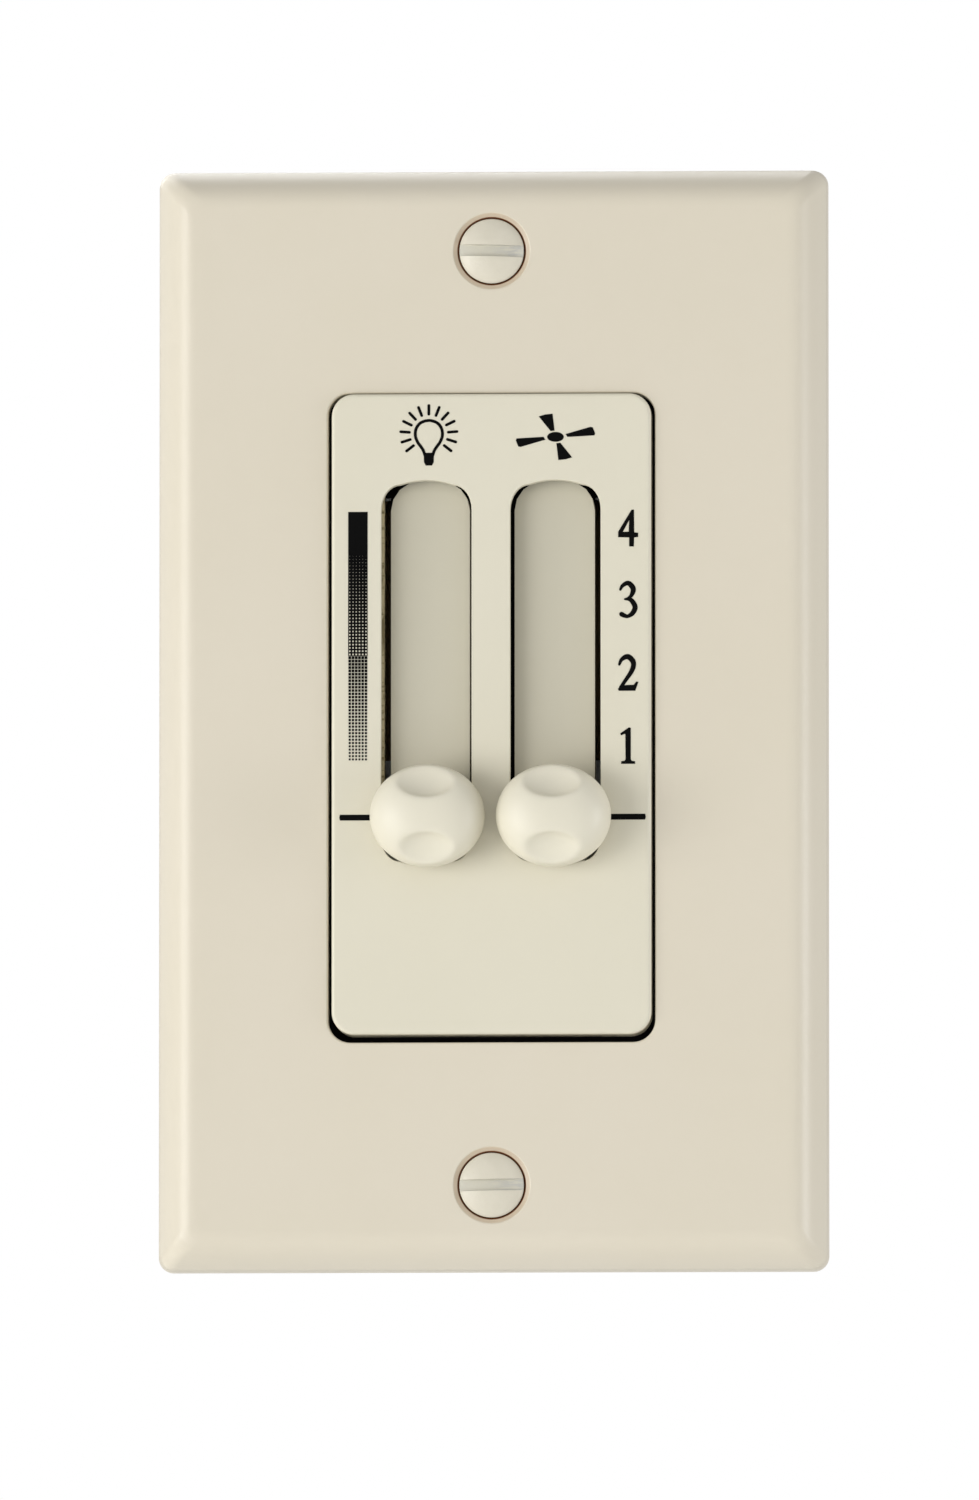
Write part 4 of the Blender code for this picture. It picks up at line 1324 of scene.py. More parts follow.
@dataclass
class FaceInsert:
    """The insert in the window, with an arched slot for each slide and four snap tabs behind."""

    corner: float = 2.3
    edge: float = 0.42
    front_wall: float = 1.4
    side_wall: float = 1.2
    slot_half: float = 4.68
    slot_x: float = 6.675
    slot_shift: float = -0.05
    slot_z: Point = (-15.4, 24.57)
    slot_corner: Point = (1.95, 2.6)
    slot_crown: float = 0.45
    slot_edge: float = 0.08
    cut_y: Point = (-8.0, -3.0)
    back: float = -1.8
    tab_x: Point = (14.0, 15.6)
    tab_y: Point = (-5.3, 0.4)
    tab_z: Point = (28.1, 31.1)
    hook_reach: Point = (0.5, 0.7)
    hook_end: float = 1.3

    def slot_cutter(self) -> Piece:
        """Shapes one slot about x 0: a block that narrows to an arch at each end.

        Returns:
            The cutter.
        """
        across, up = self.slot_corner
        middle = sum(self.slot_z) / 2
        start = (self.slot_z[1] - self.slot_z[0]) / 2 - self.slot_crown - up
        half, (front, back) = self.slot_half, self.cut_y
        cutter = add_block("slot", (-half, front, middle - start), (half, back, middle + start))
        steps = [math.pi / 2 * i / 8 for i in range(1, 9)]
        rings = [(self.slot_half - across + across * math.cos(t), up * math.sin(t)) for t in steps]
        arch = self.slot_half - across
        for i in range(1, 7):
            share = i / 6.2
            rings.append((arch * (1 - share), up + self.slot_crown * (1 - (1 - share) ** 2)))
        with editing(cutter):
            for end in (-1, 1):
                pick_faces(cutter, lambda centre, normal: normal.z * end > FACING)
                half, rise = self.slot_half, 0.0
                for new_half, new_rise in rings:
                    factors = (new_half / half, 1, 1)
                    grow((0, 0, end * (new_rise - rise)), factors, Vector((0, -5, middle)))
                    half, rise = new_half, new_rise
        return cutter

    def tabs(self, insert: Piece) -> None:
        """Joins on a snap tab with its hook behind each corner.

        Args:
            insert: The insert to change.
        """
        (low_x, high_x), (root, end_y), (low_z, high_z) = self.tab_x, self.tab_y, self.tab_z
        tab = add_block("tab", (low_x, root, low_z), (high_x, end_y, high_z))
        with editing(tab):
            pick_faces(tab, lambda centre, normal: normal.y > FACING)
            grow((0, 0.9, 0), (0.9, 1, 1), Vector((low_x, 1.3, 0)))
            grow((0, 0.3, 0), (0.7, 1, 0.9), Vector((low_x, 1.6, (low_z + high_z) / 2)))
        near, far = self.hook_reach
        hook = add_block("hook", (low_x + near, end_y, low_z), (high_x + far, self.hook_end, high_z))
        carve(tab, hook, "UNION")
        for side in (-1, 1):
            for end in (-1, 1):
                twin = copy_of(tab, "tab_twin")
                place_by(twin, Matrix.Diagonal((side, 1, end, 1)))
                carve(insert, twin, "UNION")
        bpy.data.objects.remove(tab, do_unlink=True)

    def build(self) -> None:
        """Builds and dresses the insert."""
        low, high = node_box("face_insert")
        rise = (low.z + high.z) / 2
        half_x, half_z = high.x, high.z - rise
        face, back = low.y, self.back
        insert = add_block("insert", (-half_x, face, rise - half_z), (half_x, back, rise + half_z))
        round_upright_edges(insert, self.corner, 10)
        with editing(insert):
            pick_edges(insert, lambda a, b: at_depth(face, a, b))
            bpy.ops.mesh.bevel(offset=self.edge, segments=5, affect="EDGES")
            pick_faces(insert, lambda centre, normal: normal.y > FACING)
            bpy.ops.mesh.inset(thickness=self.side_wall, depth=0.0)
            grow((0, face + self.front_wall - back, 0))
        self.tabs(insert)
        cutter = self.slot_cutter()
        for side in Side:
            twin = copy_of(cutter, "slot_twin")
            place_by(twin, Matrix.Translation((side.value * self.slot_x + self.slot_shift, 0, 0)))
            carve(insert, twin)
        bpy.data.objects.remove(cutter, do_unlink=True)

        def on_slot(a: Vector, b: Vector) -> bool:
            """Whether an edge lies on the front edge of a slot."""
            reach = self.slot_half + 0.1
            beside = [abs(abs(v.x) - self.slot_x) < reach for v in (a, b)]
            between = [self.slot_z[0] - 0.05 < v.z < self.slot_z[1] + 0.05 for v in (a, b)]
            return at_depth(face, a, b) and all(beside) and all(between)

        with editing(insert):
            pick_edges(insert, on_slot)
            bpy.ops.mesh.bevel(offset=self.slot_edge, segments=3, affect="EDGES")
        rename(insert, "moulded_face_insert")
        shade(insert, 32)
        settle(insert, INSERT_PLASTIC, stands_for=("face_insert",))


@dataclass
class SlotFloor:
    """The floor seen through the slots: a plate with two tongues, a near-black sheet behind them as
    painted shade, and a strip of felt.
    """

    edge: float = 0.12
    tongue_x: dict[Side, Point] = field(
        default_factory=lambda: {Side.LIGHT: (2.325, 10.475), Side.FAN: (2.325, 10.625)}
    )
    tongue_z: Point = (-15.5, 24.67)
    tongue_corner: float = 3.1
    moat: float = 0.75
    moat_z: Point = (-12.0, 25.6)
    shade_sheet_y: Point = (-1.72, -1.58)
    shade_sheet_half: Point = (17.1, 34.9)
    shade_sheet_corner: float = 1.5
    shade_sheet_cut: Point = (-3.0, 0.0)
    leg_x: Point = (10.6, 11.15)
    leg_z: Point = (-13.9, 23.1)
    tab_x: Point = (13.8, 15.9)
    tab_z: Point = (27.8, 31.4)
    felt_x: Point = (-11.66, -11.09)
    felt_y: Point = (-4.75, -1.85)
    felt_short: float = 2.2
    felt_cuts: tuple[int, int] = (180, 5)
    felt_rough: float = 0.16

    def moats(self, floor: Piece) -> None:
        """Cuts the gap beside and above each tongue right through the plate.

        Args:
            floor: The floor to change.
        """
        for side, (inner, outer) in self.tongue_x.items():
            low_z, high_z = self.moat_z
            low, high = span(side.value, (inner - self.moat, outer + self.moat))
            moat = add_block("moat", (low, -5.0, low_z), (high, 0.0, high_z))
            low, high = span(side.value, (inner, outer))
            tongue = add_block("tongue", (low, -6.0, self.tongue_z[0]), (high, 1.0, self.tongue_z[1]))
            round_upright_edges(tongue, self.tongue_corner, 8)
            carve(moat, tongue)
            carve(floor, moat)

    def shade_sheet_shape(self) -> Piece:
        """Shapes the near-black sheet behind the floor, slit for the knobs' legs: painted shade that
        keeps the gaps black.

        Returns:
            The sheet.
        """
        (half_x, half_z), (front, back) = self.shade_sheet_half, self.shade_sheet_y
        sheet = add_block("black_shade_sheet", (-half_x, front, -half_z), (half_x, back, half_z))
        round_upright_edges(sheet, self.shade_sheet_corner, 4)
        near, far = self.shade_sheet_cut
        for side in (-1, 1):
            low, high = span(side, self.leg_x)
            carve(sheet, add_block("slit", (low, near, self.leg_z[0]), (high, far, self.leg_z[1])))
            for end in (-1, 1):
                (low, high), (below, above) = span(side, self.tab_x), span(end, self.tab_z)
                carve(sheet, add_block("tab_hole", (low, near, below), (high, far, above)))
        return sheet

    def felt(self) -> Piece:
        """Shapes the rough strip of felt along the outer side of the light slot.

        Returns:
            The strip.
        """
        (low_x, high_x), (front, back), (low_z, high_z) = self.felt_x, self.felt_y, self.moat_z
        strip = add_block("dust_felt", (low_x, front, low_z), (high_x, back, high_z - self.felt_short))
        along, across = self.felt_cuts
        with editing(strip):
            pick_edges(strip, lambda a, b: abs(a.z - b.z) > 1.0)
            bpy.ops.mesh.subdivide(number_cuts=along)
            pick_edges(strip, lambda a, b: abs(a.x - b.x) > 0.1)
            bpy.ops.mesh.subdivide(number_cuts=across)
        nap = bpy.data.textures.new("felt_nap", "CLOUDS")
        nap.noise_scale = 0.3
        apply_modifier(strip, "DISPLACE", texture=nap, strength=self.felt_rough, mid_level=1.0)
        return strip

    def build(self) -> None:
        """Builds and dresses the floor, its painted-shade sheet and the felt."""
        floor = node_copy("slot_floor", "slot_floor_tray")
        self.moats(floor)
        soften(floor, self.edge, 3, 50)
        shade(floor, 32)
        # The floor wears the darker copy of the insert's plastic, as painted shade.
        settle(floor, SHADED_FLOOR_PLASTIC, stands_for=("slot_floor",))
        # The near-black sheet is painted shade behind the gaps.
        sheet = self.shade_sheet_shape()
        shade(sheet, 32)
        settle(sheet, SHADE_SHEET)
        strip = self.felt()
        shade(strip, 50, weighted=False)
        settle(strip, FELT)


@dataclass
class PrintedMarks:
    """The ink on the insert: index lines, a fading bar, four numerals and two pictograms."""

    thickness: float = 0.03
    spread: float = 0.07
    line_z: float = -10.4
    line_height: float = 0.46
    line_point: float = 0.05
    line_spans: dict[str, Point] = field(
        default_factory=lambda: {"left": (-15.6, -11.9), "right": (11.9, 15.85)}
    )
    bar_x: Point = (-14.81, -12.8)
    bar_z: Point = (-4.54, 21.3)
    bar_columns: int = 6
    bar_rows: int = 76
    solid_above: float = 17.8
    holes_above: float = 6.2
    lightest: float = 0.34
    fade_power: float = 1.35
    numeral_x: float = 14.15
    bulb: Point = (-6.465, 29.4)
    bulb_stroke: float = 0.17
    ray_reach: Point = (2.02, 2.92)
    ray_angles: tuple[float, ...] = (90, 68.5, 47, 26, 4, -17.5, -38)
    fan: Point = (6.64, 29.01)

    def ink(self, name: str, outlines: list[list[Point]], centre: Point) -> Piece:
        """Lays a flat shape on the insert's face, where the ink spreads a little past its outlines."""
        spread = [swell(outline, self.spread) for outline in outlines]
        return add_ink(name, spread, centre, node_box("face_insert")[0].y, self.thickness)

    def index_lines(self) -> None:
        """Prints the line that each knob's middle stands on when it is off."""
        for word, (low, high) in self.line_spans.items():
            half_x, half_z = (high - low) / 2, self.line_height / 2
            tip = half_x + self.line_point
            outline = [(-half_x, -half_z), (half_x, -half_z), (tip, 0.0), (half_x, half_z)]
            outline += [(-half_x, half_z), (-tip, 0.0)]
            settle(self.ink(f"index_line_{word}", [outline], ((low + high) / 2, self.line_z)), INK)

    def coverage(self, z: float) -> float:
        """Gives the share of the bar's area that is ink.

        Args:
            z: Height on the bar.

        Returns:
            The share, which is 1 where the bar is solid.
        """
        share = min(1.0, (z - self.bar_z[0]) / (self.solid_above - self.bar_z[0]))
        return 1 - (1 - self.lightest) * (1 - share) ** self.fade_power

    def fading_bar(self) -> None:
        """Prints the bar that fades from solid ink at the top to small dots at the bottom."""
        face = node_box("face_insert")[0].y
        (low_x, high_x), (low_z, high_z) = self.bar_x, self.bar_z
        pitch_x, pitch_z = (high_x - low_x) / self.bar_columns, (high_z - low_z) / self.bar_rows
        deselect_all()
        bpy.ops.mesh.primitive_grid_add(
            x_subdivisions=self.bar_columns,
            y_subdivisions=self.bar_rows,
            size=1.0,
            location=((low_x + high_x) / 2, face, (low_z + high_z) / 2),
            rotation=(math.pi / 2, 0, 0),
        )
        bar = newest("fading_bar", (high_x - low_x, high_z - low_z, 1.0))

        def in_row(centre: Vector, row: int) -> bool:
            """Whether a face lies in a row of cells."""
            return row * pitch_z < centre.z - low_z < (row + 1) * pitch_z

        def off_middle(centre: Vector) -> bool:
            """Whether a face isn't the middle of its cell."""
            across = (centre.x - low_x) / pitch_x % 1 - 0.5
            up = (centre.z - low_z) / pitch_z % 1 - 0.5
            return max(abs(across), abs(up)) > 0.02

        with editing(bar):
            for row in range(self.bar_rows):
                middle = low_z + (row + 0.5) * pitch_z
                share = self.coverage(middle)
                if share > 0.99:
                    continue
                hole = middle > self.holes_above
                side = math.sqrt(1 - share if hole else share)
                pick_faces(bar, lambda centre, normal: in_row(centre, row))
                bpy.ops.mesh.inset(thickness=pitch_x * (1 - side) / 2, depth=0.0, use_individual=True)
                if not hole:
                    pick_faces(bar, lambda centre, normal: in_row(centre, row) and off_middle(centre))
                bpy.ops.mesh.delete(type="FACE")
            bpy.ops.mesh.select_all(action="SELECT")
            grow((0, -self.thickness, 0))
            face_outwards()
        settle(bar, INK)

    def numeral(
        self, name: str, z: float, outlines: list[list[Point]], strokes: list[list[Point]]
    ) -> None:
        """Prints one numeral.

        Args:
            name: Name of the mark.
            z: Height of its middle.
            outlines: Closed outlines, the later ones being holes in the first.
            strokes: Outlines of strokes that join the first shape.
        """
        shapes = [self.ink(name, outlines, (self.numeral_x, z))] if outlines else []
        shapes += [self.ink(name, [stroke], (self.numeral_x, z)) for stroke in strokes]
        mark = shapes[0]
        for shape in shapes[1:]:
            carve(mark, shape, "UNION")
        rename(mark, name)
        settle(mark, INK)

    def numerals(self) -> None:
        """Prints the four fan speeds."""
        flag = [(0.2, 1.78), (0.1, 1.83), (-0.74, 1.25), (-0.7, 1.16), (-0.36, 1.3), (-0.22, 1.2)]
        foot = [(-0.2, -1.45), (-0.35, -1.64), (-0.65, -1.67), (-0.66, -1.81)]
        one = flag + foot + [(-x, z) for x, z in reversed(foot)]
        self.numeral("numeral_1", -3.04, [one], [])
        base = [(-0.98, -1.73), (-0.92, -1.85), (0.69, -1.85), (0.97, -1.06), (0.87, -1.04)]
        base += [(0.61, -1.37), (-0.5, -1.4), (-0.7, -1.5)]
        sweep = [(-0.91, 0.81, 0.12), (-0.66, 1.33, 0.26), (-0.06, 1.62, 0.42), (0.46, 1.2, 0.42)]
        sweep += [(0.55, 0.69, 0.38), (0.33, 0.06, 0.33), (-0.18, -0.7, 0.26), (-0.78, -1.58, 0.2)]
        self.numeral("numeral_2", 4.57, [base], [pen_stroke(sweep)])
        upper = [(-0.8, 1.03, 0.11), (-0.56, 1.45, 0.24), (0.02, 1.7, 0.36), (0.52, 1.14, 0.42)]
        upper += [(0.38, 0.5, 0.28), (0.05, 0.17, 0.14), (-0.33, 0.04, 0.06)]
        lower = [(-0.33, 0.04, 0.06), (0.28, -0.04, 0.32), (0.72, -0.75, 0.4), (0.47, -1.4, 0.36)]
        lower += [(0.0, -1.73, 0.24), (-0.35, -1.68, 0.3), (-0.68, -1.52, 0.36)]
        self.numeral("numeral_3", 12.11, [], [pen_stroke(upper), pen_stroke(lower)])
        four = [(0.54, 1.84), (0.4, 1.84), (-0.95, -0.38), (-0.96, -0.88), (0.18, -0.9), (0.18, -1.84)]
        four += [(0.53, -1.84), (0.55, -0.92), (0.97, -0.86), (0.97, -0.55), (0.6, -0.52), (0.56, -0.3)]
        eye = swell([(0.15, 0.98), (-0.66, -0.45), (0.15, -0.46)], -2.2 * self.spread)
        self.numeral("numeral_4", 19.52, [four, eye], [])

    def bulb_mark(self) -> None:
        """Prints the lamp with its rays."""
        half = [(-0.42, -2.2), (-0.57, -1.76), (-0.82, -1.36), (-1.16, -0.88), (-1.4, -0.2)]
        half += [(-1.3, 0.55), (-0.83, 1.13), (-0.0, 1.36)]
        path = half + [(-x, z) for x, z in reversed(half[:-1])]
        stroke = pen_stroke([(x, z, self.bulb_stroke) for x, z in path])
        glass = self.ink("bulb_mark", [stroke], self.bulb)
        cap = [(-0.46, -2.06), (-0.43, -2.95), (-0.28, -3.24)]
        cap += [(-x, z) for x, z in reversed(cap)]
        carve(glass, self.ink("cap", [cap], self.bulb), "UNION")
        rays = []
        for angle in self.ray_angles:
            turn = math.radians(angle)
            ends = [(r * math.cos(turn), r * math.sin(turn), 0.15) for r in self.ray_reach]
            rays.append(pen_stroke(ends, steps=2))
            if angle != 90:
                rays.append([(-x, z) for x, z in reversed(rays[-1])])
        settle(join([glass, self.ink("rays", rays, self.bulb)], "bulb_mark"), INK)

    def fan_mark(self) -> None:
        """Prints the four blades round an oval hub."""
        turns = [2 * math.pi * i / 32 for i in range(32)]
        hub = [(0.79 * math.cos(t), 0.44 * math.sin(t)) for t in turns]
        right = [(1.15, 0.25), (3.62, 0.96), (3.8, 0.92), (4.03, 0.35), (3.98, 0.21), (1.28, 0.06)]
        top = [(-0.47, 0.68), (-1.62, 2.1), (-1.05, 2.26), (-0.36, 2.33), (-0.17, 0.72)]
        blades = [right, top] + [[(-x, -z) for x, z in blade] for blade in (right, top)]
        settle(self.ink("fan_mark", [hub, *blades], self.fan), INK)

    def build(self) -> None:
        """Prints every mark."""
        self.index_lines()
        self.fading_bar()
        self.numerals()
        self.bulb_mark()
        self.fan_mark()


# ---- Strap, its screws and the housing ----


@dataclass
class Strap:
    """The metal strap, with the screws and rivets that hold it."""

    edge: float = 0.14
    spacing: float = 83.34
    pitch: float = 0.794
    shank: float = 1.45
    crest: float = 1.75
    slot_half: float = 0.5
    rivet: Point = (19.3, 31.3)
    ground: Point = (-9.2, -39.5)

    def thread(self, start: float, turns: int, centre: Point) -> Piece:
        """Winds a screw thread onto a shank."""
        half = self.pitch * 0.45
        tooth = [(self.shank - 0.2, -half), (self.shank, -half), (self.crest, -0.06), (self.crest, 0.06)]
        tooth += [(self.shank, half), (self.shank - 0.2, half)]
        return add_coil(tooth, start, self.pitch, turns, centre)

    def device_screws(self) -> None:
        """Makes the two long screws for the wall box."""
        half = self.slot_half
        head = [(0.6, 28.0), (1.1, 27.6), (self.shank, 26.6), (self.shank, -0.6), (1.75, -0.9)]
        head += [(1.75, -1.8), (3.1, -1.8), (3.35, -1.9), (3.4, -2.1), (3.4, -2.35), (3.33, -2.6)]
        head += [(3.1, -3.0), (2.7, -3.25), (2.2, -3.4), (1.4, -3.48), (0.1, -3.5)]
        for word, end in (("top", 1), ("bottom", -1)):
            z = end * self.spacing / 2
            screw = add_turned("device_screw", head, (0, z), 64)
            carve(screw, add_block("slot", (-4.5, -4.5, z - half), (4.5, -2.7, z + half)))
            soften(screw, 0.06, 2, 42)
            screw = join([screw, self.thread(0.6, 31, (0, z))], f"long_box_screw_{word}")
            shade(screw, 40)
            settle(screw, ZINC, stands_for=(f"device_screw_{word}",))

    def ground_screw(self) -> None:
        """Makes the green screw for the ground wire."""
        profile = [(0.9, -2.4), (self.shank, -2.0), (self.shank, 0.3), (3.3, 0.3), (3.5, 0.45)]
        profile += [(3.5, 1.9), (3.35, 2.3), (3.0, 2.5), (0.1, 2.6)]
        screw = add_turned("ground", profile, self.ground, 64)
        x, z = self.ground
        for half_x, half_z in ((4, self.slot_half), (self.slot_half, 4)):
            carve(screw, add_block("slot", (x - half_x, 1.7, z - half_z), (x + half_x, 3.5, z + half_z)))
        soften(screw, 0.07, 2, 42)
        screw = join([screw, self.thread(-1.7, 2, self.ground)], "green_ground_screw")
        shade(screw, 40)
        settle(screw, GREEN_SCREW, stands_for=("ground_screw",))

    def rivets(self) -> None:
        """Makes the four rivets that hold the housing."""
        profile = [(0.5, 6.9), (0.8, 6.75), (1.1, 6.4), (1.1, -1.8), (2.0, -1.8), (2.1, -1.88)]
        profile += [(2.08, -2.0), (1.95, -2.18), (1.6, -2.42), (1.1, -2.6), (0.5, -2.68), (0.1, -2.7)]
        first = add_turned("rivet", profile, (0, 0), 48)
        shade(first, 40)
        for row, end in (("top", 1), ("bottom", -1)):
            for column, side in (("left", -1), ("right", 1)):
                rivet = copy_of(first, f"domed_rivet_{row}_{column}")
                place_by(rivet, Matrix.Translation((side * self.rivet[0], 0, end * self.rivet[1])))
                settle(rivet, ZINC, stands_for=(f"housing_rivet_{row}_{column}",))
        bpy.data.objects.remove(first, do_unlink=True)

    def build(self) -> None:
        """Builds the strap and what fastens it."""
        strap = node_copy("mounting_strap", "stamped_strap")
        soften(strap, self.edge, 2, 50)
        shade(strap, 32)
        settle(strap, ALUMINIUM, stands_for=("mounting_strap",))
        self.device_screws()
        self.ground_screw()
        self.rivets()


@dataclass
class Housing:
    """The moulded housing, with a sunk panel on its back."""

    edge: float = 0.35
    panel_half: Point = (16.5, 17.0)
    panel_z: float = 6.0
    panel_depth: float = 0.3
    panel_corner: float = 1.5

    def build(self) -> None:
        """Builds and dresses the housing."""
        housing = node_copy("rear_housing", "moulded_rear_housing")
        back = node_box("rear_housing")[1].y
        (half_x, half_z), z = self.panel_half, self.panel_z
        low = (-half_x, back - self.panel_depth, z - half_z)
        panel = add_block("panel", low, (half_x, back + 1, z + half_z))
        round_upright_edges(panel, self.panel_corner, 6)
        carve(housing, panel)
        soften(housing, self.edge, 3, 28)
        shade(housing, 32)
        settle(housing, BLACK_PLASTIC, stands_for=("rear_housing",))


@dataclass
class InnerParts:
    """What the housing holds: the same shapes as packed, with the edges of the real pieces."""

    edges: dict[str, tuple[float, int, float]] = field(
        default_factory=lambda: {
            "light_slide_can": (0.1, 2, 50),
            "fan_slide_can": (0.1, 2, 50),
            "light_track_board": (0.05, 1, 50),
            "fan_contact_board": (0.05, 1, 50),
            "circuit_board": (0.06, 1, 60),
            "screw_retainer_top": (0.08, 2, 50),
            "screw_retainer_bottom": (0.08, 2, 50),
            "triac": (0.12, 2, 50),
            "triac_insulator": (0.03, 1, 50),
            "fan_capacitor_large": (0.6, 3, 60),
            "fan_capacitor_small": (0.6, 3, 60),
            "filter_capacitor": (0.5, 3, 60),
            "timing_capacitor": (0.4, 3, 60),
            "light_carriage": (0.15, 2, 50),
            "fan_carriage": (0.15, 2, 50),
            "trimmer": (0.15, 2, 50),
        }
    )
    wire_radius: float = 0.42
    wire_turns: int = 26
    core_centre: Point = (7.5, -17.5)
    core_radii: Point = (5.2, 9.2)
    core_depths: Point = (14.0, 20.4)

    def soft_edged(self, record: dict) -> None:
        """Rounds the edges of the plain inner pieces.

        Args:
            record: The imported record, which gives each node's slot and body.
        """
        slots = {part["node"]: part["material_slot"] for part in record["subparts"]}
        bodies = {node: body for body, nodes in record["behaviour"]["bodies"].items() for node in nodes}
        for node, (width, segments, angle) in self.edges.items():
            piece = node_copy(node, f"{node}_finished")
            soften(piece, width, segments, angle)
            shade(piece, 35)
            settle(piece, BY_SLOT[slots[node]], bodies[node], (node,))

    def winding(self) -> None:
        """Winds the choke's wire round its ring core, with two tails to the board."""
        core_x, core_z = self.core_centre
        inner, outer = self.core_radii
        low, high = self.core_depths
        clear = self.wire_radius + 0.12
        half_r, half_y = (outer - inner) / 2 + clear, (high - low) / 2 + clear
        middle_r, middle_y = (outer + inner) / 2, (high + low) / 2
        steps = self.wire_turns * 20
        first, last = math.radians(118), math.radians(422)
        path = []
        for step in range(steps + 1):
            share = step / steps
            around = first + (last - first) * share
            turn = 2 * math.pi * self.wire_turns * share - math.pi / 2
            c, s = math.cos(turn), math.sin(turn)
            reach = (abs(c) ** 4 + abs(s) ** 4) ** -0.25
            radius = middle_r + half_r * c * reach
            y = middle_y + half_y * s * reach
            path.append((core_x + radius * math.cos(around), y, core_z + radius * math.sin(around)))
        for end, x in ((0, -4.0), (-1, 4.0)):
            foot_x, foot_z = core_x + x, core_z + 12.2
            tail = [(foot_x, 11.8, foot_z), (foot_x, 12.8, foot_z)]
            path = tail + path if end == 0 else path + tail[::-1]
        curve = bpy.data.curves.new("choke_wire", "CURVE")
        curve.dimensions = "3D"
        curve.bevel_depth = self.wire_radius
        curve.bevel_resolution = 2
        curve.use_fill_caps = True
        add_spline(curve, path)
        wire = put_in_scene("wound_choke_wire", curve)
        select_only(wire)
        bpy.ops.object.convert(target="MESH")
        shade(wire, 60, weighted=False)
        settle(wire, COPPER, stands_for=("choke_winding",))

    def build(self, record: dict) -> None:
        """Builds the inner pieces.

        Args:
            record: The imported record.
        """
        self.soft_edged(record)
        self.winding()


# ---- Slides ----


@dataclass
class Knob:
    """A round slide knob: a dome with two finger scoops, over a skirt and a leg."""

    side: Side
    centre_x: float = 6.52
    centre_z: float = -10.4
    half_width: float = 6.05
    half_height: float = 5.4
    base: float = -6.6
    foot: float = 0.86
    rings: tuple[Point, ...] = (
        (0.93, -6.95),
        (0.99, -7.8),
        (1.0, -8.9),
        (0.965, -10.1),
        (0.87, -11.25),
        (0.70, -12.15),
        (0.47, -12.72),
        (0.22, -12.96),
        (0.06, -13.0),
    )
    scoop_depth: float = -12.6
    scoop_z: float = 6.25
    scoop_shift: float = -0.15
    scoop_radii: Corner = (4.6, 2.5, 4.4)
    voxel: float = 0.1
    skirt_cut: float = -7.4

    def dome(self) -> Piece:
        """Shapes the dome with its scoops and soft rims.

        Returns:
            The dome.
        """
        deselect_all()
        place = (self.side.value * self.centre_x, self.base, self.centre_z)
        bpy.ops.mesh.primitive_circle_add(
            vertices=32, radius=1.0, fill_type="NGON", location=place, rotation=(math.pi / 2, 0, 0)
        )
        scale, depth = self.foot, self.base
        dome = newest("dome", (self.half_width * scale, self.half_height * scale, 1.0))
        with editing(dome):
            bpy.ops.mesh.select_all(action="SELECT")
            for next_scale, next_depth in self.rings:
                factor = next_scale / scale
                grow((0, next_depth - depth, 0), (factor, 1, factor), Vector(place))
                scale, depth = next_scale, next_depth
            face_outwards()
        apply_modifier(dome, "SUBSURF", levels=2, render_levels=2)
        for end in (-1, 1):
            deselect_all()
            spot = (place[0], self.scoop_depth, self.centre_z + self.scoop_shift + end * self.scoop_z)
            bpy.ops.mesh.primitive_uv_sphere_add(segments=64, ring_count=32, radius=1.0, location=spot)
            carve(dome, newest("scoop", self.scoop_radii))
        apply_modifier(dome, "REMESH", mode="VOXEL", voxel_size=self.voxel)
        apply_modifier(dome, "SMOOTH", factor=0.5, iterations=100)
        return dome

    def build(self) -> None:
        """Builds and dresses the knob with its skirt and leg."""
        node = f"{self.side.word}_knob"
        stem = node_copy(node, "stem")
        with editing(stem):
            bpy.ops.mesh.select_all(action="SELECT")
            bpy.ops.mesh.bisect(
                plane_co=(0, self.skirt_cut, 0), plane_no=(0, 1, 0), clear_inner=True, use_fill=True
            )
        soften(stem, 0.06, 2, 50)
        knob = join([self.dome(), stem], f"round_{node}")
        shade(knob, 50, weighted=False)
        settle(knob, KNOB_PLASTIC, self.side.body, (node,))


# ---- Studio ----


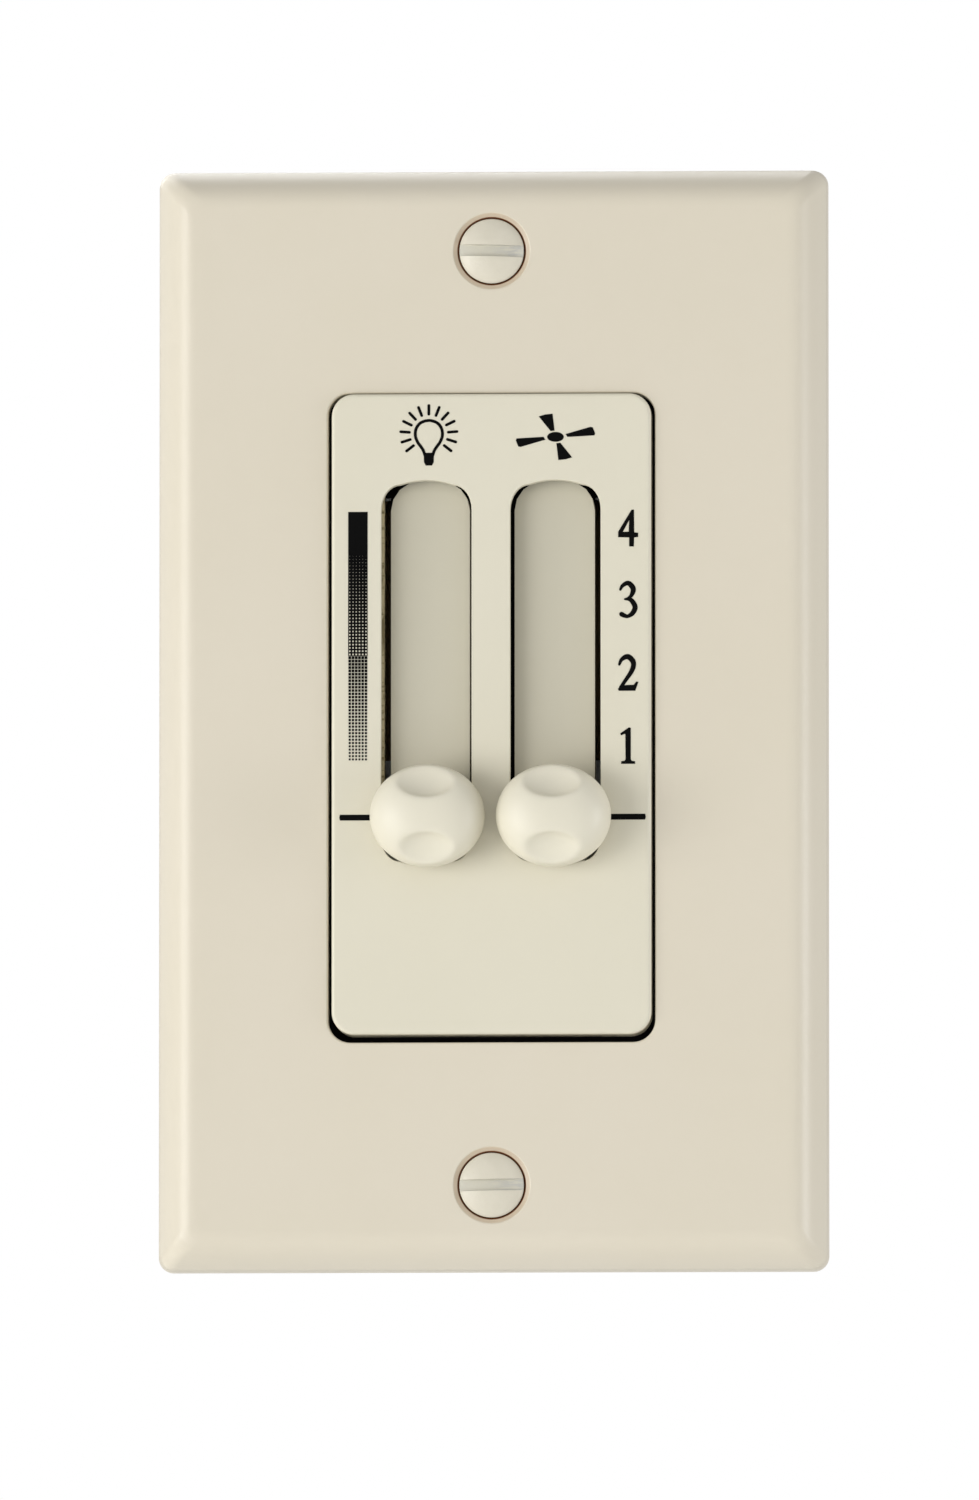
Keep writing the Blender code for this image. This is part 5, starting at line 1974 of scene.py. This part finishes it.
@dataclass
class Studio:
    """Camera, lights and floor."""

    distance: float = 3.0
    elevation: float = math.radians(-4.5)
    azimuth: float = math.radians(2.5)
    frame_height: float = 0.1550
    aim: Corner = (-0.000207, -0.0058, -0.0034)
    sensor: float = 36.0
    floor_z: Point = (-0.47, -0.46)
    floor_half: float = 6.0

    def camera(self) -> None:
        """Places the camera."""
        data = bpy.data.cameras.new("camera")
        camera = put_in_scene("camera", data)
        data.sensor_fit = "VERTICAL"
        data.sensor_height = self.sensor
        data.lens = self.sensor * self.distance / self.frame_height
        flat = self.distance * math.cos(self.elevation)
        offset = Vector((flat * math.sin(self.azimuth), -flat * math.cos(self.azimuth), 0.0))
        offset.z = self.distance * math.sin(self.elevation)
        camera.location = Vector(self.aim) + offset
        camera.rotation_euler = (-offset).to_track_quat("-Z", "Y").to_euler()
        bpy.context.scene.camera = camera

    def light(self, name: str, place: Corner, size: float, power: float, tint: Colour) -> None:
        """Places one square soft light that faces the control.

        Args:
            name: Name of the light.
            place: Where it stands, in metres.
            size: Its side, in metres.
            power: Its power in watts.
            tint: Its colour.
        """
        data = bpy.data.lights.new(name, "AREA")
        data.size = size
        data.energy = power
        data.color = tint
        light = put_in_scene(name, data)
        light.location = place
        light.rotation_euler = (-Vector(place)).to_track_quat("-Z", "Y").to_euler()

    def world(self, strength: float, shown: float) -> None:
        """Makes the white surroundings.

        Args:
            strength: How much they light the control.
            shown: How bright the camera sees them.
        """
        world = bpy.data.worlds.new("white_surroundings")
        world.use_nodes = True
        bpy.context.scene.world = world
        pen = Sketch(world.node_tree)
        background = world.node_tree.nodes["Background"]
        seen = pen.add("LightPath").outputs["Is Camera Ray"]
        background.inputs["Color"].default_value = (1.0, 1.0, 1.0, 1.0)
        pen.feed(background.inputs["Strength"], pen.line(seen, shown - strength, strength))

    def floor(self) -> None:
        """Lays the pale floor, well below the control."""
        half, (below, above) = self.floor_half, self.floor_z
        floor = add_block("studio_floor", (-half, -half, below), (half, half, above))
        with editing(floor):
            pick_edges(floor, lambda a, b: abs(a.z - b.z) > (above - below) / 2)
            bpy.ops.mesh.bevel(offset=half / 4, segments=8, affect="EDGES")
        floor.data.materials.append(FLOOR_PAINT.material())

    def build(self) -> None:
        """Builds the studio."""
        self.camera()
        self.floor()
        self.world(0.545, 1.0)
        self.light("key_left", (-1.06, -0.89, -0.2), 1.0, 14.9, (1.0, 0.99, 0.97))
        self.light("grazing_right", (0.42, -0.09, -0.03), 0.2, 0.56, (0.99, 0.99, 1.0))
        self.light("back_above", (-0.6, 1.3, 0.9), 1.2, 12.0, (1.0, 1.0, 1.0))
        settings = bpy.context.scene.view_settings
        settings.view_transform = "Standard"
        settings.look = "None"


def dress_packed_nodes(nodes: dict[str, Piece], record: dict) -> None:
    """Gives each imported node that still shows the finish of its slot.

    Args:
        nodes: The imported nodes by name.
        record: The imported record.
    """
    for part in record["subparts"]:
        node = nodes[part["node"]]
        if node.hide_render:
            continue
        finish = BY_SLOT[part["material_slot"]]
        node.data.materials.clear()
        node.data.materials.append(finish.material())
        log.info("%s keeps its packed shape, in %s", part["node"], finish.name)


def main() -> None:
    """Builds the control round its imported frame."""
    logging.basicConfig(level=logging.INFO, format="%(message)s")
    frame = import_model()
    build_effects()
    WallPlate().build()
    PlateScrews().build()
    FaceInsert().build()
    SlotFloor().build()
    PrintedMarks().build()
    for side in Side:
        Knob(side).build()
    Strap().build()
    Housing().build()
    InnerParts().build(frame["record"])
    dress_packed_nodes(frame["nodes"], frame["record"])
    Studio().build()


if __name__ == "__main__":
    main()
